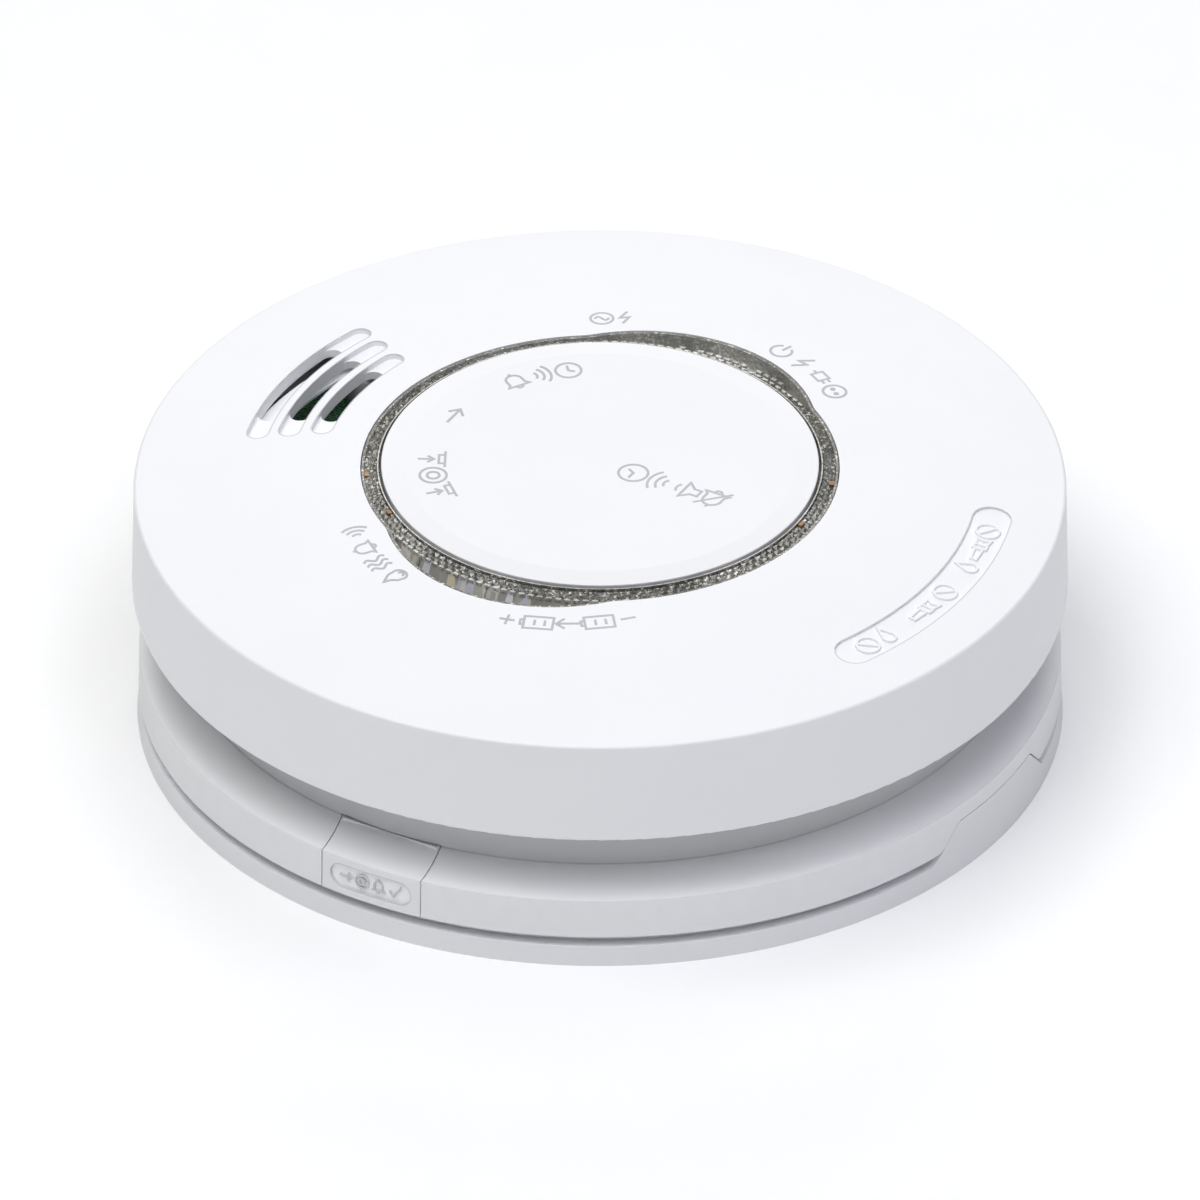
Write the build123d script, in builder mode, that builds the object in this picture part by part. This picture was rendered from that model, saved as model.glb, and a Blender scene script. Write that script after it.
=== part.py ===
"""Mains smoke alarm: a round head that hinges off its ceiling base.

Millimetres. Z = 0 is the face of the base that meets the ceiling, and +Z points into the room.
-Y is the release button, +Y the hinge, -X the horn slots and battery, +X the mains terminals.
"""

import math
import os

from build123d import *

os.makedirs("parts", exist_ok=True)

# ---- driving dimensions ----

seam_gap = 0.2
rivet_radius = 1.5

# base
base_radius = 64.26
base_top_radius = 63.99
base_rim_height = 3.01
base_floor = 2.2
upstand_outer_radius = 62.3
upstand_inner_radius = 60.3
upstand_height = 4.3
hinge_flat_y = 61.0
rib_start = 51.5
rib_count = 12

# raised cable tab on the base, flush with the head's rim
tab_top_height = 7.94
tab_top_half_width = 9.8
tab_foot_half_width = 14.9
tab_corner = 1.5
tab_foot_corner = 2.0

# fixing slots and cable opening
fixing_spacing = 84.0
inner_fixing_spacing = 60.0
fixing_slot_radius = 2.25
fixing_slot_length = 12.0
inner_slot_length = 8.0
cable_opening_x = 6.0
cable_opening_size = (24.0, 30.0)

# latch post on the base, and the hook that hangs beside its lip
latch_half_width = 5.0
latch_outer_y = -60.5
latch_inner_y = -58.6
latch_lip_y = -57.4
latch_lip_bottom = 7.4
latch_top = 8.6
hook_clearance = 0.2

# head rim, deck and vented wall
rim_bottom = 4.66
rim_radius = 64.09
crease_radius = 64.02
crease_height = 10.6
rim_inner_radius = 62.4
wall_radius = 58.4
wall_inner_radius = 56.6
ledge_top = 13.25
wall_top = 35.2
deck_bottom = 11.5
deck_top = 13.0
pocket_wall = 1.5
vent_count = 40
vent_width = 6.2
vent_bottom = 18.5
vent_top = 27.0

# cover
skirt_bottom = 21.29
skirt_bottom_radius = 65.02
cover_radius = 64.8
cover_edge_height = 36.84
dome_rise = 4.668
cover_wall = 2.0
cover_edge_blend = 0.45
skirt_inner_radius = 63.1
opening_radius = 33.31
crescent_radius = 23.85
crescent_offset = 12.44
opening_blend = 4.0
slot_radii = (48.8, 44.5, 40.1)
slot_half_lengths = (15.9, 13.7, 11.4)
slot_open_half_lengths = (10.2, 8.5, 7.1)
slot_width = 3.0
slot_tail_depth = 0.8
baffle_center = (-0.1, -5.0)
baffle_radius = 48.3
baffle_width = 3.4
baffle_span = (160.0, 188.5)
baffle_bottom = 35.95
baffle_thickness = 0.4
label_radius = 55.25
label_width = 5.3
label_half_angle = 20.3
label_depth = 0.35
boss_places = ((46.0, 24.0), (46.0, -24.0), (-22.0, 47.0), (-22.0, -47.0))
boss_radius = 3.5

# test button and lens ring
button_radius = 30.43
button_skirt_radius = 30.3
button_edge_height = 41.03
button_top = 41.25
button_flat_radius = 27.2
button_underside = 39.6
lens_bore_radius = 30.8
lens_band_radius = 33.0
lens_band_top = 40.7
lens_band_edge = 39.8
lens_top = 39.6
lens_flange_radius = 39.5
lens_flange_bottom = 36.1
lens_flange_top = 37.5
lens_lip_radius = 27.6
lens_lip_top = 37.2
lens_inset = 0.15
lens_lining = 0.5
prism_count = 78
prism_depth = 0.6
lens_screw_radius = 36.9
lens_screw_angles = (20, 200, 320)
leg_angles = (0, 120, 240)
leg_width = 5.0

# release button
release_half_width = 7.8
release_mark_z = 7.65
release_pill = (13.05, 3.9)
release_pill_depth = 0.4

# hinge
hinge_y = 61.2
hinge_z = 4.4
pin_radius = 1.0
pin_running_radius = 1.05
pin_half_length = 10.4
knuckle_radius = 2.0
knuckle_clearance = 2.35
lug_span = (4.9, 7.6)
knuckle_span = (7.9, 10.5)

# board and the parts on it
board_bottom = 28.4
board_top = 30.0
board_radius = 55.4
board_posts = ((-12.0, 46.0), (-12.0, -46.0), (30.0, 38.0), (30.0, -38.0))
chamber_x = 2.0
chamber_radius = 20.0
chamber_bottom = 15.5
chamber_roof = 26.4
holder_angles = (20, 160)
holder_height = 22.6
horn_place = (-38.5, 19.0)
horn_radius = 11.5
horn_top = 35.7
disc_z = 32.2
switch_top = 33.6
capacitor_bottom = 18.9

# battery bay
battery_x = -35.75
battery_width = 26.5
battery_length = 48.5
battery_snap_height = 2.1
battery_bottom = 6.6
battery_height = 17.5
bay_clearance = 0.4
bay_mouth = 5.9
bay_roof = 24.5
bay_top = 26.0
snap_offset = 6.35
snap_z = 15.35

# mains terminals
terminal_x = 35.0
terminal_size = (16.0, 29.0)
terminal_top = 12.0
rivet_y = 17.4
clamp_x = 32.5
wire_z = 6.2
terminal_rows = (-9.0, 0.0, 9.0)
pad_x = 40.5
pin_hole_radius = 0.6
pocket_x = 35.75
pocket_top = 16.0
pocket_size = (20.5, 37.0)


def dome_height(radius):
    """Height of the cover's outer surface at this radius."""
    return cover_edge_height + dome_rise * (1 - (radius / cover_radius) ** 2)


def save(piece, label):
    """Name one sub-part and write its file."""
    piece.part.label = label
    export_step(piece.part, f"parts/{label}.step")


def circles(piece, radius):
    """The piece's round edges of this radius."""
    return [edge for edge in piece.edges().filter_by(GeomType.CIRCLE)
            if abs(edge.radius - radius) < 0.01]


def dome_core(drop):
    """Solid under the cover's outer surface, lowered by drop."""
    with BuildPart() as core:
        with BuildSketch(Plane.XZ):
            with BuildLine():
                Polyline((0, dome_height(0) - drop), (0, 0), (cover_radius, 0),
                         (cover_radius, dome_height(cover_radius) - drop))
                ThreePointArc((cover_radius, dome_height(cover_radius) - drop),
                              (40, dome_height(40) - drop), (0, dome_height(0) - drop))
            make_face()
        revolve(axis=Axis.Z)
    return core.part


def slot_solid(radius, half_length, width, drop):
    """Curved slot about the Z axis on the -X side, from drop below the dome upwards."""
    half_angle = math.degrees((half_length - width / 2) / radius)
    with BuildPart() as slot:
        with BuildSketch(Plane.XY.offset(deck_top)):
            SlotArc(CenterArc((0, 0), radius, 180 - half_angle, 2 * half_angle), width)
        extrude(amount=30)
    return slot.part if drop is None else slot.part - dome_core(drop)


def opening_sketch(inset):
    """The cover's centre opening, drawn smaller all round by inset."""
    with BuildSketch() as outline:
        Circle(opening_radius)
        with Locations((0, crescent_offset), (0, -crescent_offset)):
            Circle(crescent_radius)
        fillet(outline.vertices(), opening_blend)
        if inset:
            offset(amount=-inset)
    return outline.sketch


def screw(head_radius, head_height, shank_radius, length):
    """Pan-head screw that points along +Z, with its shank starting at the origin."""
    with BuildPart() as body:
        with Locations((0, 0, -head_height)):
            Cylinder(head_radius, head_height, align=(Align.CENTER, Align.CENTER, Align.MIN))
        fillet(body.edges().filter_by(GeomType.CIRCLE).group_by(Axis.Z)[0], head_height * 0.4)
        Cylinder(shank_radius, length, align=(Align.CENTER, Align.CENTER, Align.MIN))
        with Locations((0, 0, -head_height)):
            Box(head_radius * 1.2, head_radius * 0.3, head_height * 0.5,
                align=(Align.CENTER, Align.CENTER, Align.MIN), mode=Mode.SUBTRACT)
            Box(head_radius * 0.3, head_radius * 1.2, head_height * 0.5,
                align=(Align.CENTER, Align.CENTER, Align.MIN), mode=Mode.SUBTRACT)
    return body.part


upward = (Align.CENTER, Align.CENTER, Align.MIN)

# ---- mounting base ----

with BuildPart() as rim_cut:
    with BuildSketch(Plane.XY.offset(base_rim_height)):
        Circle(base_radius + 2)
        Circle(upstand_outer_radius, mode=Mode.SUBTRACT)
    extrude(amount=6)
    # leaves the raised tab standing
    with BuildSketch(Plane.YZ.offset(50)) as tab_outline:
        with BuildLine():
            Polyline((-30, 0), (-30, base_rim_height), (-tab_foot_half_width, base_rim_height),
                     (-tab_top_half_width, tab_top_height), (tab_top_half_width, tab_top_height),
                     (tab_foot_half_width, base_rim_height), (30, base_rim_height), (30, 0),
                     close=True)
        make_face()
        fillet(tab_outline.vertices().group_by(Axis.Y)[-1], tab_corner)
        fillet([corner for corner in tab_outline.vertices().group_by(Axis.Y)[1]
                if abs(corner.X) < 20], tab_foot_corner)
    extrude(amount=20, mode=Mode.SUBTRACT)

with BuildPart() as mounting_base:
    with BuildSketch(Plane.XZ):
        with BuildLine():
            Polyline((0, 0), (base_radius, 0), (base_top_radius, base_rim_height),
                     (base_top_radius, tab_top_height), (upstand_outer_radius, tab_top_height),
                     (upstand_outer_radius, upstand_height),
                     (upstand_inner_radius, upstand_height),
                     (upstand_inner_radius, base_floor), (0, base_floor), close=True)
        make_face()
    revolve(axis=Axis.Z)
    add(rim_cut.part, mode=Mode.SUBTRACT)
    # the upstand stops short of the hinge, and the plate ends in a flat under it
    with BuildSketch(Plane.XY.offset(base_floor)):
        with Locations((0, hinge_flat_y)):
            Rectangle(48, 12)
    extrude(amount=5, mode=Mode.SUBTRACT)
    with BuildSketch():
        with Locations((0, hinge_flat_y + 5)):
            Rectangle(60, 10)
    extrude(amount=8, mode=Mode.SUBTRACT)
    # fixing slots and cable opening
    with BuildSketch():
        with Locations((0, fixing_spacing / 2), (0, -fixing_spacing / 2)):
            SlotOverall(fixing_slot_length, 2 * fixing_slot_radius, rotation=90)
        with Locations((0, inner_fixing_spacing / 2), (0, -inner_fixing_spacing / 2)):
            SlotOverall(inner_slot_length, 2 * fixing_slot_radius, rotation=90)
        with Locations((cable_opening_x, 0)):
            RectangleRounded(*cable_opening_size, 3)
        with Locations((terminal_x, rivet_y), (terminal_x, -rivet_y)):
            Circle(rivet_radius)
    extrude(amount=base_floor, mode=Mode.SUBTRACT)
    # stiffening ribs
    with PolarLocations((upstand_inner_radius + rib_start) / 2, rib_count, start_angle=15):
        Box(upstand_inner_radius - rib_start + 0.4, 1.2, upstand_height - 0.4, align=upward)
    with BuildSketch():
        Circle(rib_start + 0.6)
        Circle(rib_start - 0.6, mode=Mode.SUBTRACT)
    extrude(amount=base_floor + 1)
    # latch post with its lip
    with BuildSketch(Plane.YZ.offset(-latch_half_width)):
        with BuildLine():
            Polyline((latch_outer_y, 1), (latch_inner_y, 1), (latch_inner_y, latch_lip_bottom),
                     (latch_lip_y, latch_lip_bottom), (latch_lip_y, latch_top - 0.4),
                     (latch_inner_y, latch_top), (latch_outer_y, latch_top), close=True)
        make_face()
    extrude(amount=2 * latch_half_width)
    # hinge lugs, with hollows below the head's knuckles
    for side in (-1, 1):
        with BuildSketch(Plane.YZ.offset(side * lug_span[0])):
            with Locations((hinge_y, hinge_z)):
                Circle(knuckle_radius)
            with Locations((hinge_flat_y - 0.9, hinge_z / 2 + 0.5)):
                Rectangle(1.8, hinge_z - 1)
            with Locations((hinge_y, hinge_z)):
                Circle(pin_radius, mode=Mode.SUBTRACT)
        extrude(amount=side * (lug_span[1] - lug_span[0]))
        with BuildSketch(Plane.YZ.offset(side * lug_span[1])):
            with Locations((hinge_y, hinge_z)):
                Circle(knuckle_clearance)
        extrude(amount=side * (knuckle_span[1] - lug_span[1] + 0.4), mode=Mode.SUBTRACT)
save(mounting_base, "mounting_base")

with BuildPart() as hinge_pin:
    with BuildSketch(Plane.YZ.offset(-pin_half_length)):
        with Locations((hinge_y, hinge_z)):
            Circle(pin_radius)
    extrude(amount=2 * pin_half_length)
    chamfer(hinge_pin.edges().filter_by(GeomType.CIRCLE), 0.2)
save(hinge_pin, "hinge_pin")

# ---- mains terminals on the base ----

with BuildPart() as terminal_block:
    with Locations((terminal_x, 0, base_floor)):
        Box(*terminal_size, terminal_top - base_floor, align=upward)
    fillet(terminal_block.edges().filter_by(Axis.Z), 1)
    with Locations((terminal_x, 0, base_floor)):
        Box(8, 41, 2.5, align=upward)
    with Locations((terminal_x, rivet_y, base_floor), (terminal_x, -rivet_y, base_floor)):
        Cylinder(rivet_radius, 2.5, align=upward, mode=Mode.SUBTRACT)
    with Locations(*[(clamp_x, row, 4.4) for row in terminal_rows]):
        Box(7.2, 6.2, 5.7, align=upward, mode=Mode.SUBTRACT)
    with Locations(*[(clamp_x, row, 4.4) for row in terminal_rows]):
        Cylinder(2.3, 8, align=upward, mode=Mode.SUBTRACT)
    with BuildSketch(Plane.YZ.offset(terminal_x - terminal_size[0] / 2)):
        with Locations(*[(row, wire_z) for row in terminal_rows]):
            Circle(1.8)
    extrude(amount=3, mode=Mode.SUBTRACT)
save(terminal_block, "terminal_block")

with BuildPart() as terminal_clamps:
    with Locations(*[(clamp_x, row, 4.5) for row in terminal_rows]):
        Box(7, 6, 5.5, align=upward)
    with BuildSketch(Plane.YZ.offset(clamp_x - 4)):
        with Locations(*[(row, wire_z) for row in terminal_rows]):
            Circle(1.4)
    extrude(amount=8, mode=Mode.SUBTRACT)
    with Locations(*[(clamp_x, row, 7) for row in terminal_rows]):
        Cylinder(1.25, 4, align=upward, mode=Mode.SUBTRACT)
save(terminal_clamps, "terminal_clamps")

with BuildPart() as terminal_screws:
    for row in terminal_rows:
        add(Pos(clamp_x, row, 10.05) * Rot(180, 0, 0) * screw(2.0, 1.5, 1.2, 2.2))
save(terminal_screws, "terminal_screws")

with BuildPart() as contact_springs:
    for row in terminal_rows:
        with BuildSketch(Plane.XZ.offset(-row - 2.5)):
            with BuildLine():
                leaf = Polyline((37.4, terminal_top + 0.2), (42.2, terminal_top + 0.2),
                                (42.6, terminal_top + 1.0), (40.8, 14.6), (39.6, 14.6), (38.2, 13.6))
            trace(leaf, line_width=0.4)
        extrude(amount=5)
save(contact_springs, "contact_springs")

with BuildPart() as block_rivets:
    with Locations((terminal_x, rivet_y, 0.3), (terminal_x, -rivet_y, 0.3)):
        Cylinder(rivet_radius, base_floor + 2.2, align=upward)
    with Locations((terminal_x, rivet_y, base_floor + 2.5), (terminal_x, -rivet_y, base_floor + 2.5)):
        Cylinder(2.6, 0.9, align=upward)
    fillet(block_rivets.edges().filter_by(GeomType.CIRCLE).group_by(Axis.Z)[-1], 0.5)
save(block_rivets, "block_rivets")

# ---- rear housing ----

vent_angles = [index * 360 / vent_count for index in range(vent_count)]
bay_width = battery_width + 2 * bay_clearance
bay_length = battery_length + 2 * bay_clearance
with BuildPart() as vent_window:
    with BuildSketch(Plane.YZ.offset(50)):
        with Locations((0, (vent_bottom + vent_top) / 2)):
            RectangleRounded(vent_width, vent_top - vent_bottom, 1)
    extrude(amount=12)

with BuildPart() as rear_housing:
    with BuildSketch(Plane.XZ):
        with BuildLine():
            Polyline((0, deck_bottom), (58, deck_bottom), (rim_inner_radius, 9.3),
                     (rim_inner_radius, rim_bottom), (rim_radius, rim_bottom),
                     (crease_radius, crease_height))
            ThreePointArc((crease_radius, crease_height), (61.0, 11.5), (wall_radius, ledge_top))
            Polyline((wall_radius, ledge_top), (wall_radius, wall_top),
                     (wall_inner_radius, wall_top), (wall_inner_radius, deck_top),
                     (0, deck_top), (0, deck_bottom))
        make_face()
    revolve(axis=Axis.Z)
    # vent windows, left out beside the corners of the battery bay
    add([Rot(0, 0, angle) * vent_window.part for angle in vent_angles if angle not in (153, 207)],
        mode=Mode.SUBTRACT)
    # battery bay and terminal pocket, both open towards the base
    with Locations((battery_x, 0, bay_mouth)):
        Box(bay_width + 2 * pocket_wall, bay_length + 2 * pocket_wall, bay_top - bay_mouth,
            align=upward)
        Box(bay_width, bay_length, bay_roof - bay_mouth, align=upward, mode=Mode.SUBTRACT)
    with Locations((pocket_x, 0, deck_bottom)):
        Box(pocket_size[0] + 2 * pocket_wall, pocket_size[1] + 2 * pocket_wall,
            pocket_top + pocket_wall - deck_bottom, align=upward)
        Box(*pocket_size, pocket_top - deck_bottom, align=upward, mode=Mode.SUBTRACT)
    with Locations((battery_x - bay_width / 2, 0, bay_mouth),
                   (battery_x + bay_width / 2, 0, bay_mouth)):
        Box(1.2, 8, 0.5, align=upward)
    # board posts, screw holes, pin holes
    with Locations(*[(x, y, deck_bottom) for x, y in board_posts]):
        Cylinder(3, board_bottom - deck_bottom, align=upward)
    with Locations(*[(x, y, 20) for x, y in board_posts]):
        Cylinder(1.25, 12, align=upward, mode=Mode.SUBTRACT)
    with Locations(*[(x, y, deck_bottom) for x, y in boss_places]):
        Cylinder(1.7, 2, align=upward, mode=Mode.SUBTRACT)
    with Locations(*[(pad_x, row, pocket_top) for row in terminal_rows]):
        Cylinder(pin_hole_radius, 2, align=upward, mode=Mode.SUBTRACT)
    with Locations((battery_x - snap_offset, battery_length / 2, bay_roof - 0.5),
                   (battery_x + snap_offset, battery_length / 2, bay_roof - 0.5)):
        Box(1.6, 0.9, 3, align=upward, mode=Mode.SUBTRACT)
    # opening, rails and spring post of the release button
    with Locations((0, -59.3, rim_bottom - 1)):
        Box(2 * release_half_width + 0.4, 13.4, ledge_top + 1.1 - rim_bottom, align=upward,
            mode=Mode.SUBTRACT)
    for side in (-1, 1):
        with BuildSketch(Plane.XZ.offset(51)):
            with BuildLine():
                Polyline((side * 9.6, deck_bottom + 0.5), (side * 9.6, 9.6), (side * 8.1, 9.6),
                         (side * 8.1, 8.2), (side * 11.1, 8.2), (side * 11.1, deck_bottom + 0.5),
                         close=True)
            make_face()
        extrude(amount=7)
    with Locations((0, -46.4, 5)):
        Box(6, 1.6, deck_bottom - 4.5, align=upward)
    # notch that fits over the base's raised tab, a seam wider all round
    tab_slope = (tab_foot_half_width - tab_top_half_width) / (tab_top_height - base_rim_height)
    notch_foot = (tab_foot_half_width - tab_slope * (rim_bottom - base_rim_height)
                  + seam_gap * math.sqrt(2))
    with BuildSketch(Plane.YZ.offset(58.6)) as notch_outline:
        with BuildLine():
            Polyline((-24, 3), (-24, rim_bottom), (-notch_foot, rim_bottom),
                     (-tab_top_half_width - 0.1, tab_top_height + seam_gap),
                     (tab_top_half_width + 0.1, tab_top_height + seam_gap),
                     (notch_foot, rim_bottom), (24, rim_bottom), (24, 3), close=True)
        make_face()
        fillet(notch_outline.vertices().group_by(Axis.Y)[-1], tab_corner + seam_gap)
        fillet([corner for corner in notch_outline.vertices().group_by(Axis.Y)[1]
                if abs(corner.X) < 20], 2.5)
    extrude(amount=8, mode=Mode.SUBTRACT)
    # hinge knuckles, and clearance round the base's lugs
    for side in (-1, 1):
        with BuildSketch(Plane.YZ.offset(side * (lug_span[0] - 0.3))):
            with Locations((hinge_y, hinge_z)):
                Circle(knuckle_clearance)
        extrude(amount=side * (knuckle_span[0] - lug_span[0] + 0.3), mode=Mode.SUBTRACT)
        with BuildSketch(Plane.YZ.offset(side * knuckle_span[0])):
            with Locations((hinge_y, hinge_z)):
                Circle(knuckle_radius)
            with Locations((61.5, 7.2)):
                Rectangle(2.6, 5.6)
        extrude(amount=side * (knuckle_span[1] - knuckle_span[0]))
    with BuildSketch(Plane.YZ.offset(-knuckle_span[1] - 0.5)):
        with Locations((hinge_y, hinge_z)):
            Circle(pin_running_radius)
    extrude(amount=2 * knuckle_span[1] + 1, mode=Mode.SUBTRACT)
save(rear_housing, "rear_housing")

# ---- cover ----

open_slots = [slot_solid(*sizes, slot_width, None)
              for sizes in zip(slot_radii, slot_open_half_lengths)]
slot_tails = [slot_solid(*sizes, slot_width, slot_tail_depth)
              for sizes in zip(slot_radii, slot_half_lengths)]
label_cut = Rot(0, 0, 180) * slot_solid(
    label_radius, label_radius * math.radians(label_half_angle) + label_width / 2, label_width,
    label_depth)

with BuildPart() as front_cover:
    with BuildSketch(Plane.XZ):
        with BuildLine():
            Polyline((0, dome_height(0)), (0, dome_height(0) - cover_wall))
            ThreePointArc((0, dome_height(0) - cover_wall), (40, dome_height(40) - cover_wall),
                          (62.9, dome_height(62.9) - cover_wall))
            Polyline((62.9, dome_height(62.9) - cover_wall), (skirt_inner_radius, skirt_bottom),
                     (skirt_bottom_radius, skirt_bottom), (cover_radius, cover_edge_height))
            ThreePointArc((cover_radius, cover_edge_height), (40, dome_height(40)),
                          (0, dome_height(0)))
        make_face()
    revolve(axis=Axis.Z)
    fillet(circles(front_cover, cover_radius), cover_edge_blend)
    fillet(circles(front_cover, skirt_bottom_radius), 0.4)
    extrude(Pos(0, 0, 34) * opening_sketch(0), amount=10, mode=Mode.SUBTRACT)
    add(open_slots + slot_tails + [label_cut], mode=Mode.SUBTRACT)
    # screw bosses, long for the cover and short for the lens ring
    with Locations(*[(x, y, deck_top + 0.1) for x, y in boss_places]):
        Cylinder(boss_radius, 24.2, align=upward)
    with Locations(*[(x, y, deck_top) for x, y in boss_places]):
        Cylinder(1.25, 20, align=upward, mode=Mode.SUBTRACT)
    for angle in lens_screw_angles:
        with PolarLocations(lens_screw_radius, 1, start_angle=angle):
            with Locations((0, 0, lens_flange_top + 0.05)):
                Cylinder(2.4, 1.4, align=upward)
                Cylinder(0.9, 1.2, align=upward, mode=Mode.SUBTRACT)
    # sound baffle under the outer slot, hung from the cover at both ends
    with BuildSketch(Plane.XY.offset(baffle_bottom)):
        SlotArc(CenterArc(baffle_center, baffle_radius, baffle_span[0],
                          baffle_span[1] - baffle_span[0]), baffle_width)
    extrude(amount=baffle_thickness)
    for angle in baffle_span:
        with Locations(Pos(*baffle_center, baffle_bottom) * Rot(0, 0, angle)
                       * Pos(baffle_radius, 0, 0)):
            Cylinder(baffle_width / 2, 1.6, align=upward)
save(front_cover, "front_cover")

# ---- lens ring ----

band_width = lens_band_radius - lens_bore_radius
band_slope = math.atan2(lens_band_top - lens_band_edge, band_width)

with BuildPart() as prism_groove:
    with BuildSketch(Plane.YZ.offset(-1)):
        Polygon((-prism_depth, 0), (prism_depth, 0), (0, -prism_depth), align=None)
    extrude(amount=band_width / math.cos(band_slope) + 1.1)
sloping_groove = (Pos(lens_bore_radius, 0, lens_band_top)
                  * Rot(0, math.degrees(band_slope), 0) * prism_groove.part)

with BuildPart() as lens_ring:
    with BuildSketch(Plane.XY.offset(lens_flange_bottom)):
        Circle(lens_flange_radius)
    extrude(amount=lens_flange_top - lens_flange_bottom)
    # thin lip that lines the cover's opening, with a well inside it at each crescent
    extrude(Pos(0, 0, lens_flange_bottom) * opening_sketch(lens_inset),
            amount=lens_top - lens_flange_bottom)
    extrude(Pos(0, 0, lens_flange_top) * opening_sketch(lens_inset + lens_lining),
            amount=10, mode=Mode.SUBTRACT)
    # round band, sloping down from the button, with its prisms
    with BuildSketch(Plane.XZ):
        Polygon((0, lens_flange_bottom), (lens_band_radius, lens_flange_bottom),
                (lens_band_radius, lens_band_edge), (lens_bore_radius, lens_band_top),
                (0, lens_band_top), align=None)
    revolve(axis=Axis.Z)
    with Locations((0, 0, lens_flange_bottom)):
        Cylinder(lens_bore_radius, 10, align=upward, mode=Mode.SUBTRACT)
    with BuildSketch(Plane.XY.offset(lens_flange_bottom)):
        Circle(lens_bore_radius)
        Circle(lens_lip_radius, mode=Mode.SUBTRACT)
        with PolarLocations(27.7, len(leg_angles)):
            Rectangle(4, leg_width + 0.6, mode=Mode.SUBTRACT)
    extrude(amount=lens_lip_top - lens_flange_bottom)
    add([Rot(0, 0, index * 360 / prism_count) * sloping_groove
         for index in range(prism_count)], mode=Mode.SUBTRACT)
    with Locations(*[Pos(0, 0, lens_flange_bottom - 1) * Rot(0, 0, angle)
                     * Pos(lens_screw_radius, 0, 0) for angle in lens_screw_angles]):
        Cylinder(1.0, 4, align=upward, mode=Mode.SUBTRACT)
save(lens_ring, "lens_ring")

with BuildPart() as lens_screws:
    for angle in lens_screw_angles:
        add(Rot(0, 0, angle) * Pos(lens_screw_radius, 0, lens_flange_bottom)
            * screw(2.0, 1.2, 0.85, 2.4))
save(lens_screws, "lens_screws")

with BuildPart() as cover_screws:
    for x, y in boss_places:
        add(Pos(x, y, deck_bottom) * screw(2.8, 1.9, 1.2, 14))
save(cover_screws, "cover_screws")

# ---- test button ----

with BuildPart() as test_button:
    with BuildSketch(Plane.XZ):
        with BuildLine():
            Polyline((0, button_top), (button_flat_radius, button_top),
                     (button_radius, button_edge_height), (button_skirt_radius, 39.0),
                     (28.6, 39.0), (28.6, button_underside), (0, button_underside), close=True)
        make_face()
    revolve(axis=Axis.Z)
    fillet(circles(test_button, button_radius), 0.15)
    # guide legs with hooks under the lens ring's lip
    for angle in leg_angles:
        with Locations(Rot(0, 0, angle) * Pos(28.8, 0, 35.0)):
            Box(1.2, leg_width, 4.8, align=upward)
        with Locations(Rot(0, 0, angle) * Pos(29.8, 0, 35.0)):
            Box(1.0, leg_width, 0.9, align=upward)
    # switch post and spring collar
    with Locations((0, 0, 36.0)):
        Cylinder(2.0, 4, align=upward)
    with BuildSketch(Plane.XY.offset(38.6)):
        Circle(7.8)
        Circle(6.9, mode=Mode.SUBTRACT)
    extrude(amount=1.2)
save(test_button, "test_button")

with BuildPart() as button_spring:
    with BuildLine() as button_coil:
        Helix(2.2, 8.7, 6.0, center=(0, 0, board_top + 0.42))
    with BuildSketch(Plane(origin=button_coil.line @ 0, z_dir=button_coil.line % 0)):
        Circle(0.35)
    sweep(path=button_coil.line, is_frenet=True)
save(button_spring, "button_spring")

with BuildPart() as switch_body:
    with Locations((0, 0, board_top)):
        Box(6, 6, switch_top - board_top, align=upward)
    chamfer(switch_body.edges().filter_by(Axis.Z), 0.5)
    with Locations((0, 0, 32.7)):
        Cylinder(1.77, 2, align=upward, mode=Mode.SUBTRACT)
save(switch_body, "switch_body")

with BuildPart() as switch_plunger:
    with Locations((0, 0, 33.0)):
        Cylinder(1.7, 2, align=upward)
    fillet(switch_plunger.edges().filter_by(GeomType.CIRCLE).group_by(Axis.Z)[-1], 0.3)
save(switch_plunger, "switch_plunger")

# ---- release button ----

with BuildPart() as pill_cut:
    with BuildSketch(Plane.XZ.offset(rim_radius - 3)):
        with Locations((0, release_mark_z)):
            SlotOverall(*release_pill)
    extrude(amount=6)
    Cylinder(rim_radius - release_pill_depth, 60, mode=Mode.SUBTRACT)

with BuildPart() as release_button:
    with BuildSketch(Plane.XZ):
        with BuildLine():
            Polyline((rim_radius, rim_bottom), (crease_radius, crease_height))
            ThreePointArc((crease_radius, crease_height), (61.0, 11.5), (wall_radius, ledge_top))
            Polyline((wall_radius, ledge_top), (55.5, ledge_top), (55.5, 11.2), (58.8, 11.2),
                     (62.5, 9.2), (62.5, rim_bottom), (rim_radius, rim_bottom))
        make_face()
    revolve(axis=Axis.Z)
    with Locations((0, -60, 0)):
        Box(2 * release_half_width, 20, 40, mode=Mode.INTERSECT)
    add(pill_cut.part, mode=Mode.SUBTRACT)
    # slide block with side flanges
    with Locations((0, -56.6, 9.9)):
        Box(15, 3.8, ledge_top - 9.9, align=upward)
    with Locations((0, -56.1, 9.9)):
        Box(18.6, 2.8, 1.3, align=upward)
    # hook arm beside the base's latch lip
    with BuildSketch(Plane.YZ.offset(-latch_half_width + 0.5)):
        with BuildLine():
            Polyline((-54.7, 11), (-54.7, 5.6), (-56.6, 5.6), (latch_lip_y + hook_clearance, 6.4),
                     (latch_lip_y + hook_clearance, 7.1), (-56.2, 7.1), (-56.2, 11), close=True)
        make_face()
    extrude(amount=2 * latch_half_width - 1)
save(release_button, "release_button")

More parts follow.
